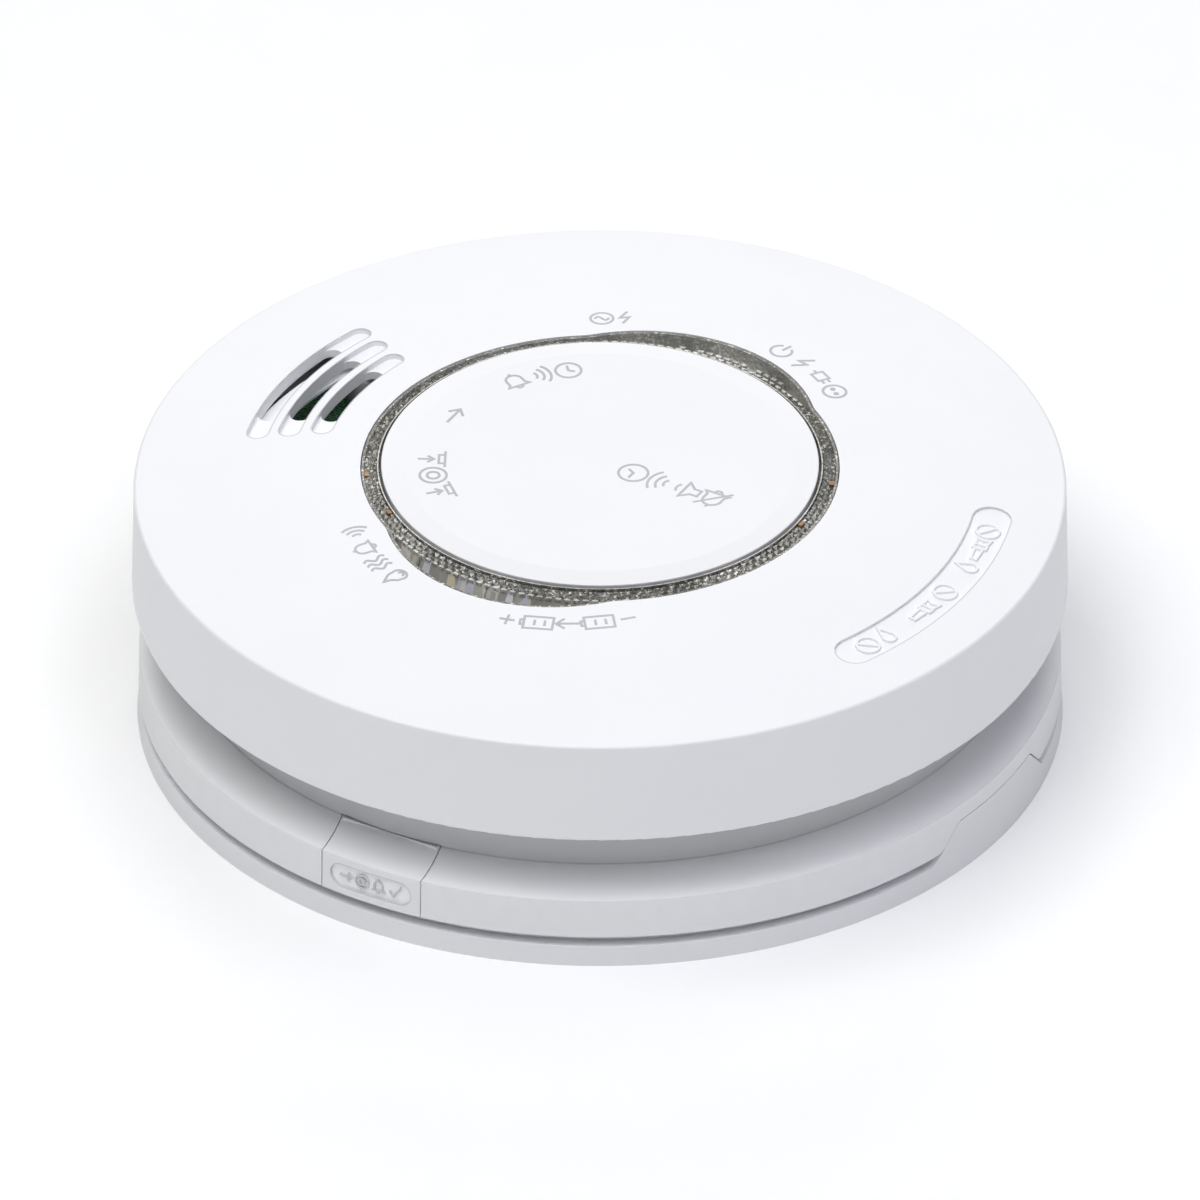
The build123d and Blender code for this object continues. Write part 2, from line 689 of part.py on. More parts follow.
with BuildPart() as release_spring:
    with BuildLine() as release_coil:
        Helix(1.5, 6.75, 1.95, center=(0, -54.35, 8.0), direction=(0, 1, 0))
    with BuildSketch(Plane(origin=release_coil.line @ 0, z_dir=release_coil.line % 0)):
        Circle(0.25)
    sweep(path=release_coil.line, is_frenet=True)
save(release_spring, "release_spring")

# ---- circuit board and its parts ----

with BuildPart() as main_board:
    with BuildSketch(Plane.XY.offset(board_bottom)):
        Circle(board_radius)
        with Locations(*boss_places):
            Circle(boss_radius + 0.5, mode=Mode.SUBTRACT)
        with Locations(*board_posts):
            Circle(1.6, mode=Mode.SUBTRACT)
        with Locations(*[(pad_x, row) for row in terminal_rows]):
            Circle(pin_hole_radius, mode=Mode.SUBTRACT)
    extrude(amount=board_top - board_bottom)
save(main_board, "main_board")

with BuildPart() as board_screws:
    for x, y in board_posts:
        add(Pos(x, y, board_top) * Rot(180, 0, 0) * screw(2.6, 1.8, 1.2, 8))
save(board_screws, "board_screws")

with BuildPart() as mains_pads:
    for row in terminal_rows:
        with Locations((pad_x, row, pocket_top - 0.8)):
            Box(5, 5, 0.8, align=upward)
            Cylinder(0.55, board_top + 1.6 - pocket_top, align=upward)
save(mains_pads, "mains_pads")

with BuildPart() as film_capacitor:
    with Locations((30.5, -14.5, capacitor_bottom)):
        Box(18, 6, board_bottom - capacitor_bottom, align=upward)
    fillet(film_capacitor.edges(), 0.5)
save(film_capacitor, "film_capacitor")

with BuildPart() as electrolytic_capacitors:
    with Locations((32, 4.8, capacitor_bottom), (32, -4.8, capacitor_bottom)):
        Cylinder(4, board_bottom - capacitor_bottom, align=upward)
    fillet(electrolytic_capacitors.edges().filter_by(GeomType.CIRCLE).group_by(Axis.Z)[0], 0.5)
    with Locations((32, 4.8, capacitor_bottom), (32, -4.8, capacitor_bottom)):
        Box(5, 0.4, 0.25, align=upward, mode=Mode.SUBTRACT)
        Box(0.4, 5, 0.25, align=upward, mode=Mode.SUBTRACT)
save(electrolytic_capacitors, "electrolytic_capacitors")

with BuildPart() as varistor:
    with Locations(Pos(47.5, 6, 23.6) * Rot(0, 90, 0)):
        Cylinder(4.5, 3.6)
    fillet(varistor.edges().filter_by(GeomType.CIRCLE), 1.2)
    with Locations((47.5, 3.8, 25), (47.5, 8.2, 25)):
        Cylinder(0.4, board_bottom - 25, align=upward)
save(varistor, "varistor")

with BuildPart() as fuse_resistor:
    with Locations(Pos(47, -9.5, 25.6) * Rot(90, 0, 0)):
        Cylinder(1.9, 9)
    fillet(fuse_resistor.edges().filter_by(GeomType.CIRCLE), 0.6)
    with Locations((47, -12.5, 25.6), (47, -6.5, 25.6)):
        Cylinder(0.35, board_bottom - 25.6, align=upward)
save(fuse_resistor, "fuse_resistor")

with BuildPart() as bridge_rectifier:
    with Locations((31, 14.5, 25.1)):
        Box(8.4, 6.4, 3.0, align=upward)
    chamfer(bridge_rectifier.edges().group_by(Axis.Z)[0], 0.4)
    with Locations((28.5, 14.5, 27.6), (33.5, 14.5, 27.6)):
        Box(1.4, 9.6, 0.8, align=upward)
save(bridge_rectifier, "bridge_rectifier")

with BuildPart() as horn_coil:
    with Locations((9, -21.5, board_top)):
        Cylinder(4.2, 0.8, align=upward)
        Cylinder(3.2, 5.2, align=upward)
    with Locations((9, -21.5, board_top + 4.4)):
        Cylinder(4.2, 0.8, align=upward)
save(horn_coil, "horn_coil")

with BuildPart() as controller_chip:
    with Locations((14, -8, board_top + 0.1)):
        Box(10, 4, 1.5, align=upward)
    chamfer(controller_chip.edges().group_by(Axis.Z)[-1], 0.3)
    with Locations((14, -8, board_top)):
        with GridLocations(1.27, 5.0, 7, 2):
            Box(0.45, 1.2, 0.7, align=upward)
save(controller_chip, "controller_chip")

with BuildPart() as chip_resistors:
    with Locations((15, 9, board_top)):
        with GridLocations(4, 3.2, 4, 4):
            Box(2.0, 1.25, 0.55, align=upward)
save(chip_resistors, "chip_resistors")


def indicator(x, y):
    """Round 3 mm diode on its two leads."""
    with BuildPart() as diode:
        with Locations((x, y, board_top + 0.6)):
            Cylinder(1.9, 0.8, align=upward)
            Cylinder(1.5, 4.2, align=upward)
        fillet(diode.edges().filter_by(GeomType.CIRCLE).group_by(Axis.Z)[-1], 1.3)
        with Locations((x - 0.9, y, board_top), (x + 0.9, y, board_top)):
            Box(0.4, 0.4, 0.8, align=upward)
    return diode


save(indicator(0, 34.5), "power_led")
save(indicator(-4.5, -34.5), "alarm_led")
save(indicator(4.5, -34.5), "battery_led")

# ---- sounder ----

with BuildPart() as horn_housing:
    with Locations((*horn_place, board_top)):
        Cylinder(horn_radius, horn_top - board_top, align=upward)
        Cylinder(horn_radius - 1.2, horn_top - board_top - 1, align=upward, mode=Mode.SUBTRACT)
    fillet(horn_housing.edges().filter_by(GeomType.CIRCLE).group_by(Axis.Z)[-1], 0.5)
    with BuildSketch(Plane.XY.offset(disc_z + 0.3)):
        with Locations(horn_place):
            Circle(horn_radius - 1)
            Circle(horn_radius - 2.9, mode=Mode.SUBTRACT)
    extrude(amount=0.7)
    with Locations((*horn_place, horn_top - 2)):
        Cylinder(2.0, 4, align=upward, mode=Mode.SUBTRACT)
save(horn_housing, "horn_housing")

with BuildPart() as piezo_disc:
    with Locations((*horn_place, disc_z)):
        Cylinder(horn_radius - 1.3, 0.3, align=upward)
save(piezo_disc, "piezo_disc")

with BuildPart() as piezo_ceramic:
    with Locations((*horn_place, disc_z - 0.25)):
        Cylinder(horn_radius - 4.7, 0.25, align=upward)
save(piezo_ceramic, "piezo_ceramic")

with BuildPart() as horn_contacts:
    with Locations((*horn_place, board_top), (horn_place[0] + 5, horn_place[1], board_top)):
        Cylinder(0.5, disc_z - 0.25 - board_top, align=upward)
    with Locations((horn_place[0] - horn_radius + 3.1, horn_place[1], board_top)):
        Cylinder(0.5, disc_z - board_top, align=upward)
save(horn_contacts, "horn_contacts")

# ---- smoke chamber, under the board ----

with BuildPart() as chamber_base:
    with Locations((chamber_x, 0, chamber_roof)):
        Cylinder(chamber_radius, board_bottom - chamber_roof, align=upward)
    for angle in holder_angles:
        with Locations(Pos(chamber_x, 0, holder_height) * Rot(0, 0, angle) * Pos(11, 0, 0)):
            Box(8, 7.5, 7.8)
        with Locations(Pos(chamber_x, 0, holder_height) * Rot(0, 0, angle) * Pos(10, 0, 0)
                       * Rot(0, 90, 0)):
            Cylinder(2.55, 12, mode=Mode.SUBTRACT)
save(chamber_base, "chamber_base")

with BuildPart() as chamber_cap:
    with Locations((chamber_x, 0, chamber_bottom)):
        Cylinder(chamber_radius, 1.5, align=upward)
    with BuildSketch(Plane.XY.offset(chamber_bottom + 1)):
        with Locations((chamber_x, 0)):
            with PolarLocations(17.6, 28):
                Rectangle(3.2, 0.7, rotation=35)
    extrude(amount=chamber_roof - chamber_bottom - 1.1)
save(chamber_cap, "chamber_cap")

with BuildPart() as insect_screen:
    with BuildSketch(Plane.XY.offset(chamber_bottom + 0.2)):
        with Locations((chamber_x, 0)):
            Circle(chamber_radius + 0.3)
            Circle(chamber_radius, mode=Mode.SUBTRACT)
    extrude(amount=board_bottom - chamber_bottom - 0.4)
save(insect_screen, "insect_screen")


def optic(angle):
    """Round 5 mm diode lying in its holder, with its dome towards the chamber's middle."""
    with BuildPart() as diode:
        with Locations(Pos(chamber_x, 0, holder_height) * Rot(0, 0, angle) * Pos(8.6, 0, 0)
                       * Rot(0, 90, 0)):
            Cylinder(2.5, 5.6, align=upward)
        with Locations(Pos(chamber_x, 0, holder_height) * Rot(0, 0, angle) * Pos(8.6, 0, 0)):
            Sphere(2.5)
    return diode


save(optic(holder_angles[0]), "infrared_emitter")
save(optic(holder_angles[1]), "photodiode")

# ---- battery ----

battery_end_y = battery_length / 2 - battery_snap_height

with BuildPart() as battery_9v:
    with Locations((battery_x, -battery_snap_height / 2, battery_bottom)):
        Box(battery_width, battery_length - battery_snap_height, battery_height, align=upward)
    fillet(battery_9v.edges().filter_by(Axis.Y), 2)
    fillet(battery_9v.faces().filter_by(Axis.Y).edges(), 0.6)
save(battery_9v, "battery_9v")

with BuildPart() as battery_terminals:
    with BuildSketch(Plane.XZ.offset(-battery_end_y)):
        with Locations((battery_x - snap_offset, snap_z)):
            Circle(2.9)
        with Locations((battery_x + snap_offset, snap_z)):
            RegularPolygon(4.2, 6)
            Circle(2.9, mode=Mode.SUBTRACT)
    extrude(amount=-battery_snap_height)
save(battery_terminals, "battery_terminals")

with BuildPart() as battery_contacts:
    with Locations((battery_x - snap_offset, battery_length / 2 + 0.05, 9),
                   (battery_x + snap_offset, battery_length / 2 + 0.05, 9)):
        Box(8, 0.3, 13, align=(Align.CENTER, Align.MIN, Align.MIN))
        Box(1.2, 0.3, board_bottom - 9, align=(Align.CENTER, Align.MIN, Align.MIN))
save(battery_contacts, "battery_contacts")
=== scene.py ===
import math
import random

import bpy
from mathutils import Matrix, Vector


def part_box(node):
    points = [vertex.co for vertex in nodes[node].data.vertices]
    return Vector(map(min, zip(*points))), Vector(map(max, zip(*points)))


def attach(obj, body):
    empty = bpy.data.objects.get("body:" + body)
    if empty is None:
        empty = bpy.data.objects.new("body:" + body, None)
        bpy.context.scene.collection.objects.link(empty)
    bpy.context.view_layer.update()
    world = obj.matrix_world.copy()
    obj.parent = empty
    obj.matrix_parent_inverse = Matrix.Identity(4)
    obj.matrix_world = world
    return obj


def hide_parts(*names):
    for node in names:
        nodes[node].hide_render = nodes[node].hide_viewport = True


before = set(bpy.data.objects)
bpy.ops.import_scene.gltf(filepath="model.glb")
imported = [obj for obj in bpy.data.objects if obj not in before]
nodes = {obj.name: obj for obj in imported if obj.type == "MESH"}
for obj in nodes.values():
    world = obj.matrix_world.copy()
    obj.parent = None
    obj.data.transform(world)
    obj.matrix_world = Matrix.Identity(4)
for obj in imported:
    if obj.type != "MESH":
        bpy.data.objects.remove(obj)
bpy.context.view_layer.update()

# Lengths in this script are millimetres unless they are named otherwise; mm() turns them into metres.
# -Y is the release button, +Y the hinge, -X the horn slots, +X the recessed label.

scene = bpy.context.scene

# ---- driving dimensions: the CAD part's, but for the clear ring's flange and lining ----

COVER_RADIUS = 64.8
COVER_EDGE = 36.84
DOME_RISE = 4.668
OPENING_RADIUS = 33.31
CRESCENT_RADIUS = 23.85
CRESCENT_OFFSET = 12.44
OPENING_BLEND = 4.0
LENS_INSET = 0.15
LENS_LINING = 0.35
BAND_INNER = 30.8
BAND_OUTER = 33.0
BAND_TOP = 40.7
BAND_EDGE = 39.8
FLANGE_RADIUS = 38.5
FLANGE_BOTTOM = 36.1
FLANGE_TOP = 37.5
LINING_DROP = 0.15
LIP_RADIUS = 27.6
LIP_TOP = 37.2
BUTTON_FLAT_RADIUS = 27.2
BUTTON_EDGE_RADIUS = 30.43
BUTTON_DROP = 0.22
BUTTON_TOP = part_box("test_button")[1].z * 1000
LABEL_RADIUS = 55.25
LABEL_DEPTH = 0.35
LABEL_WIDTH = 5.3
LABEL_HALF_ANGLE = 20.3
SLOT_RADII = (48.8, 44.5, 40.1)
SLOT_HALF_LENGTHS = (15.9, 13.7, 11.4)
SLOT_WIDTH = 3.0
PRISM_COUNT = 156

random.seed(11)


def mm(x, y, z):
    """Point in metres."""
    return Vector((x, y, z)) * 0.001


def polar(radius, angle, z):
    """Point in metres at this radius and angle in degrees about the Z axis."""
    turn = math.radians(angle)
    return mm(radius * math.cos(turn), radius * math.sin(turn), z)


def cover_surface(x, y):
    """Height of the cover's domed face."""
    return COVER_EDGE + DOME_RISE * (1 - (x * x + y * y) / COVER_RADIUS ** 2)


def button_surface(x, y):
    """Height of the test button's face, flat with a slight fall near its edge."""
    fall = (math.hypot(x, y) - BUTTON_FLAT_RADIUS) / (BUTTON_EDGE_RADIUS - BUTTON_FLAT_RADIUS)
    return BUTTON_TOP - BUTTON_DROP * max(fall, 0)


def band_height(radius):
    """Height of the clear band, which slopes down from the button."""
    share = (radius - BAND_INNER) / (BAND_OUTER - BAND_INNER)
    return BAND_TOP + (BAND_EDGE - BAND_TOP) * share


# ---- camera and light, lengths in metres ----

CAMERA_AZIMUTH = 30.0
CAMERA_ELEVATION = 33.726
FRAME_WIDTH = 0.16667
AIM_HEIGHT = 0.01824
LIGHT_DISTANCE = 2.0
LIGHT_AIM_HEIGHT = 0.02


def direction(azimuth, elevation):
    """Unit vector from the object towards this direction, in degrees."""
    a, e = math.radians(azimuth), math.radians(elevation)
    return Vector((math.sin(a) * math.cos(e), -math.cos(a) * math.cos(e), math.sin(e)))


towards_camera = direction(CAMERA_AZIMUTH, CAMERA_ELEVATION)
camera_data = bpy.data.cameras.new("camera")
camera_data.type = "ORTHO"
camera_data.ortho_scale = FRAME_WIDTH
camera_data.clip_start = 0.01
camera_data.clip_end = 10
camera = bpy.data.objects.new("camera", camera_data)
scene.collection.objects.link(camera)
camera.location = Vector((0, 0, AIM_HEIGHT)) + towards_camera
camera.rotation_euler = (-towards_camera).to_track_quat("-Z", "Y").to_euler()
scene.camera = camera
scene.view_settings.view_transform = "Standard"


def area_light(name, azimuth, elevation, size, energy, colour):
    """Soft square light that looks at the object from this direction."""
    data = bpy.data.lights.new(name, "AREA")
    data.size = size
    data.energy = energy
    data.color = colour
    light = bpy.data.objects.new(name, data)
    away = direction(azimuth, elevation)
    light.location = Vector((0, 0, LIGHT_AIM_HEIGHT)) + away * LIGHT_DISTANCE
    light.rotation_euler = (-away).to_track_quat("-Z", "Y").to_euler()
    scene.collection.objects.link(light)


# azimuth, elevation, size, energy in watts, colour
area_light("top_light", 200, 72, 1.55, 8.2, (1, 1, 1))
area_light("left_key", -40, 66, 1.33, 15.2, (1, 1, 0.985))
area_light("front_key", 30, 66, 1.33, 17.2, (0.965, 0.97, 1))
area_light("right_key", 100, 55, 1.33, 6.9, (0.86, 0.88, 1))
area_light("back_light", 210, 25, 1.1, 7.4, (1, 1, 0.97))

world = bpy.data.worlds.new("studio")
world.use_nodes = True
world.node_tree.nodes["Background"].inputs["Color"].default_value = (0.95, 0.96, 1, 1)
world.node_tree.nodes["Background"].inputs["Strength"].default_value = 0.07
scene.world = world


# ---- materials ----

# depths of the bumps, in metres
GRAIN_DEPTH = 0.0001
FACET_DEPTH = 0.0004
TRACK_DEPTH = 0.00005


def noise(tree, scale, detail=3.0, stretch=(1, 1, 1)):
    """Object-space noise value, stretched along the axes."""
    coords = tree.nodes.new("ShaderNodeTexCoord")
    mapping = tree.nodes.new("ShaderNodeMapping")
    mapping.inputs["Scale"].default_value = stretch
    texture = tree.nodes.new("ShaderNodeTexNoise")
    texture.inputs["Scale"].default_value = scale
    texture.inputs["Detail"].default_value = detail
    tree.links.new(coords.outputs["Object"], mapping.inputs["Vector"])
    tree.links.new(mapping.outputs["Vector"], texture.inputs["Vector"])
    return texture.outputs["Fac"]


def cells(tree, scale, stretch=(1, 1, 1)):
    """Random value and distance of object-space cells of this scale."""
    coords = tree.nodes.new("ShaderNodeTexCoord")
    mapping = tree.nodes.new("ShaderNodeMapping")
    mapping.inputs["Scale"].default_value = stretch
    texture = tree.nodes.new("ShaderNodeTexVoronoi")
    texture.inputs["Scale"].default_value = scale
    tree.links.new(coords.outputs["Object"], mapping.inputs["Vector"])
    tree.links.new(mapping.outputs["Vector"], texture.inputs["Vector"])
    grey = tree.nodes.new("ShaderNodeRGBToBW")
    tree.links.new(texture.outputs["Color"], grey.inputs["Color"])
    return grey.outputs["Val"], texture.outputs["Distance"]


def ramp(tree, value, stops):
    """Colour read from the stops, each a position and a colour."""
    node = tree.nodes.new("ShaderNodeValToRGB")
    band = node.color_ramp
    while len(band.elements) < len(stops):
        band.elements.new(0.5)
    for element, (position, colour) in zip(band.elements, stops):
        element.position = position
        element.color = (*colour, 1)
    tree.links.new(value, node.inputs["Fac"])
    return node.outputs["Color"]


def scaled(tree, value, low, high):
    """The value, 0 to 1, mapped to the range low to high."""
    node = tree.nodes.new("ShaderNodeMapRange")
    node.inputs["To Min"].default_value = low
    node.inputs["To Max"].default_value = high
    tree.links.new(value, node.inputs["Value"])
    return node.outputs["Result"]


def blend_colours(tree, share, first, second, mode="MIX"):
    """Mix of two colours by a share, a number or a value."""
    node = tree.nodes.new("ShaderNodeMix")
    node.data_type = "RGBA"
    node.blend_type = mode
    if isinstance(share, (int, float)):
        node.inputs["Factor"].default_value = share
    else:
        tree.links.new(share, node.inputs["Factor"])
    tree.links.new(first, node.inputs["A"])
    tree.links.new(second, node.inputs["B"])
    return node.outputs["Result"]


def relief(tree, height, strength, distance):
    """Bump normal from a height value; distance is in metres."""
    node = tree.nodes.new("ShaderNodeBump")
    node.inputs["Strength"].default_value = strength
    node.inputs["Distance"].default_value = distance
    tree.links.new(height, node.inputs["Height"])
    tree.links.new(node.outputs["Normal"], tree.nodes["Principled BSDF"].inputs["Normal"])


def bare_material(name, sockets):
    """New node material with these constant shader sockets."""
    material = bpy.data.materials.new(name)
    material.use_nodes = True
    shader = material.node_tree.nodes["Principled BSDF"]
    for socket, value in sockets.items():
        shader.inputs[socket.replace("_", " ")].default_value = value
    return material, material.node_tree, shader


def surface(name, colour, rough, mottle=0.03, mottle_scale=60.0, grain=4000.0, bump=0.03,
            stretch=(1, 1, 1), **sockets):
    """Moulded or metal surface: soft colour mottle, varied gloss and a fine grain bump."""
    material, tree, shader = bare_material(name, sockets)
    low = [max(c * (1 - mottle), 0) for c in colour]
    high = [min(c * (1 + mottle), 1) for c in colour]
    broad = noise(tree, mottle_scale, 4.0, stretch)
    tree.links.new(ramp(tree, broad, ((0.35, low), (0.65, high))), shader.inputs["Base Color"])
    gloss = noise(tree, mottle_scale * 6, 3.0, stretch)
    tree.links.new(scaled(tree, gloss, rough * 0.85, rough * 1.15), shader.inputs["Roughness"])
    relief(tree, noise(tree, grain, 2.0, stretch), bump, GRAIN_DEPTH)
    return material


def crystal(name, stops, cell_scale, rough, facet, stretch=(1, 1, 1)):
    """Clear faceted plastic: each small cell shows its own tone and tilts its own way; the stops can
    hold painted glints and painted reflection streaks.
    """
    material, tree, shader = bare_material(
        name, {"Specular_IOR_Level": 0.9, "Coat_Weight": 0.5, "Coat_Roughness": 0.06})
    tone, edge = cells(tree, cell_scale, stretch)
    shade = ramp(tree, tone, stops)
    drift = ramp(tree, noise(tree, 130.0, 3.0), ((0.3, (0.5, 0.5, 0.48)), (0.7, (1, 1, 1))))
    tree.links.new(blend_colours(tree, 1.0, shade, drift, "MULTIPLY"), shader.inputs["Base Color"])
    tree.links.new(scaled(tree, noise(tree, 900.0), rough * 0.6, rough * 1.5),
                   shader.inputs["Roughness"])
    relief(tree, edge, facet, FACET_DEPTH)
    return material


HOUSING_INNER = 57.0
HOUSING_OUTER = 65.0
# painted shade and light by radius: dark on the wall in the gap under the skirt, lighter than the
# plastic's own tone on the ledge out to the crease, then the plastic's tone on the rim
HOUSING_SHADE_AND_LIGHT = ((57.16, 0.84), (57.8, 0.62), (58.408, 0.64), (58.6, 0.96), (59.4, 0.98),
                 (63.8, 0.98), (64.04, 0.84))


def painted_housing_material():
    """White plastic with painted shade in the narrow gap under the cover's skirt and painted light on
    the ledge below it: a grey for each radius.
    """
    material, tree, shader = bare_material("housing_painted_shade_and_light", {})
    coords = tree.nodes.new("ShaderNodeTexCoord")
    level = tree.nodes.new("ShaderNodeVectorMath")
    level.operation = "MULTIPLY"
    level.inputs[1].default_value = (1, 1, 0)
    tree.links.new(coords.outputs["Object"], level.inputs[0])
    radius = tree.nodes.new("ShaderNodeVectorMath")
    radius.operation = "LENGTH"
    tree.links.new(level.outputs["Vector"], radius.inputs[0])
    across = tree.nodes.new("ShaderNodeMapRange")
    across.inputs["From Min"].default_value = HOUSING_INNER / 1000
    across.inputs["From Max"].default_value = HOUSING_OUTER / 1000
    tree.links.new(radius.outputs["Value"], across.inputs["Value"])
    tones = [((place - HOUSING_INNER) / (HOUSING_OUTER - HOUSING_INNER),
              (grey, grey * 1.003, grey * 1.02)) for place, grey in HOUSING_SHADE_AND_LIGHT]
    shade = ramp(tree, across.outputs["Result"], tones)
    mottle = ramp(tree, noise(tree, 60.0, 4.0), ((0.35, (0.985, 0.985, 0.985)), (0.65, (1, 1, 1))))
    tree.links.new(blend_colours(tree, 1.0, shade, mottle, "MULTIPLY"), shader.inputs["Base Color"])
    tree.links.new(scaled(tree, noise(tree, 360.0), 0.43, 0.57), shader.inputs["Roughness"])
    relief(tree, noise(tree, 5200.0, 2.0), 0.12, GRAIN_DEPTH)
    return material


WHITE = (0.865, 0.868, 0.885)
white_plastic = surface("white_plastic", WHITE, 0.42, mottle=0.006, bump=0.1, grain=5200)
base_plastic = surface("base_plastic", (0.82, 0.823, 0.84), 0.5, mottle=0.008, bump=0.12,
                       grain=5200)
# painted shade: a grey for the shaded edges of the cover's recesses and for the release button's
# raised marks
edge_shade = surface("edge_shade", (0.6, 0.603, 0.62), 0.6, mottle=0.02)
housing_painted_shade_and_light = painted_housing_material()
button_plastic = surface("button_plastic", (0.83, 0.832, 0.848), 0.3, mottle=0.005, bump=0.05,
                         grain=5200)
steel = surface("steel", (0.6, 0.6, 0.62), 0.28, mottle=0.12, grain=2500, bump=0.1, Metallic=1.0)
spring_wire = surface("spring_wire", (0.55, 0.55, 0.56), 0.22, mottle=0.1, Metallic=1.0)
brass = surface("brass", (0.78, 0.58, 0.28), 0.3, mottle=0.15, grain=2500, bump=0.1, Metallic=1.0)
block_plastic = surface("block_plastic", (0.72, 0.7, 0.62), 0.5, mottle=0.05, bump=0.2)
black_plastic = surface("black_plastic", (0.018, 0.018, 0.02), 0.5, mottle=0.2, bump=0.2)
grey_plastic = surface("grey_plastic", (0.6, 0.6, 0.62), 0.45, mottle=0.08, bump=0.15)
ceramic = surface("ceramic", (0.82, 0.8, 0.74), 0.35, mottle=0.08)
capacitor_case = surface("capacitor_case", (0.75, 0.5, 0.06), 0.25, mottle=0.05)
sleeve = surface("sleeve", (0.03, 0.035, 0.07), 0.22, mottle=0.2)
varistor_coat = surface("varistor_coat", (0.05, 0.14, 0.42), 0.3, mottle=0.1)
resistor_coat = surface("resistor_coat", (0.16, 0.3, 0.22), 0.55, mottle=0.12, bump=0.3)
ferrite = surface("ferrite", (0.07, 0.068, 0.07), 0.4, mottle=0.2)
green_lens = surface("green_lens", (0.04, 0.5, 0.12), 0.15, Transmission_Weight=0.3)
red_lens = surface("red_lens", (0.6, 0.03, 0.02), 0.15, Transmission_Weight=0.3)
amber_lens = surface("amber_lens", (0.75, 0.33, 0.02), 0.15, Transmission_Weight=0.3)
dark_lens = surface("dark_lens", (0.04, 0.02, 0.09), 0.12)
mark_ink = surface("mark_ink", (0.48, 0.485, 0.51), 0.55, mottle=0.06)
battery_ink = surface("battery_ink", (0.75, 0.76, 0.78), 0.3, mottle=0.05)
copper = surface("copper", (0.3, 0.16, 0.07), 0.25, mottle=0.25, mottle_scale=900, Metallic=0.6)


def woven_screen():
    """Fine wire mesh of the insect screen, as dark holes between bright wires."""
    material, tree, shader = bare_material("woven_screen", {"Metallic": 0.8})
    coords = tree.nodes.new("ShaderNodeTexCoord")
    weave = tree.nodes.new("ShaderNodeTexBrick")
    weave.offset = 0
    weave.inputs["Scale"].default_value = 900.0
    weave.inputs["Mortar Size"].default_value = 0.1
    weave.inputs["Brick Width"].default_value = 0.6
    weave.inputs["Row Height"].default_value = 0.6
    weave.inputs["Color1"].default_value = (0.01, 0.01, 0.01, 1)
    weave.inputs["Color2"].default_value = (0.015, 0.015, 0.015, 1)
    weave.inputs["Mortar"].default_value = (0.5, 0.5, 0.5, 1)
    tree.links.new(coords.outputs["Object"], weave.inputs["Vector"])
    tree.links.new(weave.outputs["Color"], shader.inputs["Base Color"])
    tree.links.new(scaled(tree, noise(tree, 600.0), 0.25, 0.4), shader.inputs["Roughness"])
    return material


def board_material():
    """Green solder mask over lighter copper tracks."""
    material, tree, shader = bare_material("board", {"Specular_IOR_Level": 0.6})
    mask = ramp(tree, noise(tree, 220.0),
                ((0.35, (0.03, 0.07, 0.038)), (0.65, (0.04, 0.095, 0.05))))
    coords = tree.nodes.new("ShaderNodeTexCoord")
    tracks = tree.nodes.new("ShaderNodeTexBrick")
    tracks.inputs["Scale"].default_value = 420.0
    tracks.inputs["Mortar Size"].default_value = 0.05
    tracks.inputs["Color1"].default_value = (0, 0, 0, 1)
    tracks.inputs["Color2"].default_value = (0.15, 0.15, 0.15, 1)
    tracks.inputs["Mortar"].default_value = (1, 1, 1, 1)
    tree.links.new(coords.outputs["Object"], tracks.inputs["Vector"])
    lighter = ramp(tree, noise(tree, 500.0), ((0.3, (0.06, 0.16, 0.08)), (0.7, (0.08, 0.2, 0.1))))
    tree.links.new(blend_colours(tree, tracks.outputs["Color"], mask, lighter),
                   shader.inputs["Base Color"])
    tree.links.new(scaled(tree, noise(tree, 400.0), 0.18, 0.35), shader.inputs["Roughness"])
    relief(tree, tracks.outputs["Color"], 0.5, TRACK_DEPTH)
    return material


def battery_material():
    """Printed metal jacket: a blue body and a silver end band, split along the length."""
    material, tree, shader = bare_material("battery_jacket", {"Metallic": 0.7})
    low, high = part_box("battery_9v")
    coords = tree.nodes.new("ShaderNodeTexCoord")
    split = tree.nodes.new("ShaderNodeSeparateXYZ")
    tree.links.new(coords.outputs["Object"], split.inputs[0])
    along = tree.nodes.new("ShaderNodeMapRange")
    along.inputs["From Min"].default_value = low.y
    along.inputs["From Max"].default_value = high.y
    tree.links.new(split.outputs["Y"], along.inputs["Value"])
    bands = ramp(tree, along.outputs["Result"],
                 ((0.0, (0.03, 0.1, 0.3)), (0.66, (0.03, 0.1, 0.3)), (0.665, (0.6, 0.61, 0.63)),
                  (0.69, (0.6, 0.61, 0.63)), (0.695, (0.45, 0.46, 0.48))))
    worn = ramp(tree, noise(tree, 200.0), ((0.3, (0.85, 0.85, 0.85)), (0.7, (1, 1, 1))))
    tree.links.new(blend_colours(tree, 1.0, bands, worn, "MULTIPLY"), shader.inputs["Base Color"])
    tree.links.new(scaled(tree, noise(tree, 300.0), 0.22, 0.34), shader.inputs["Roughness"])
    return material


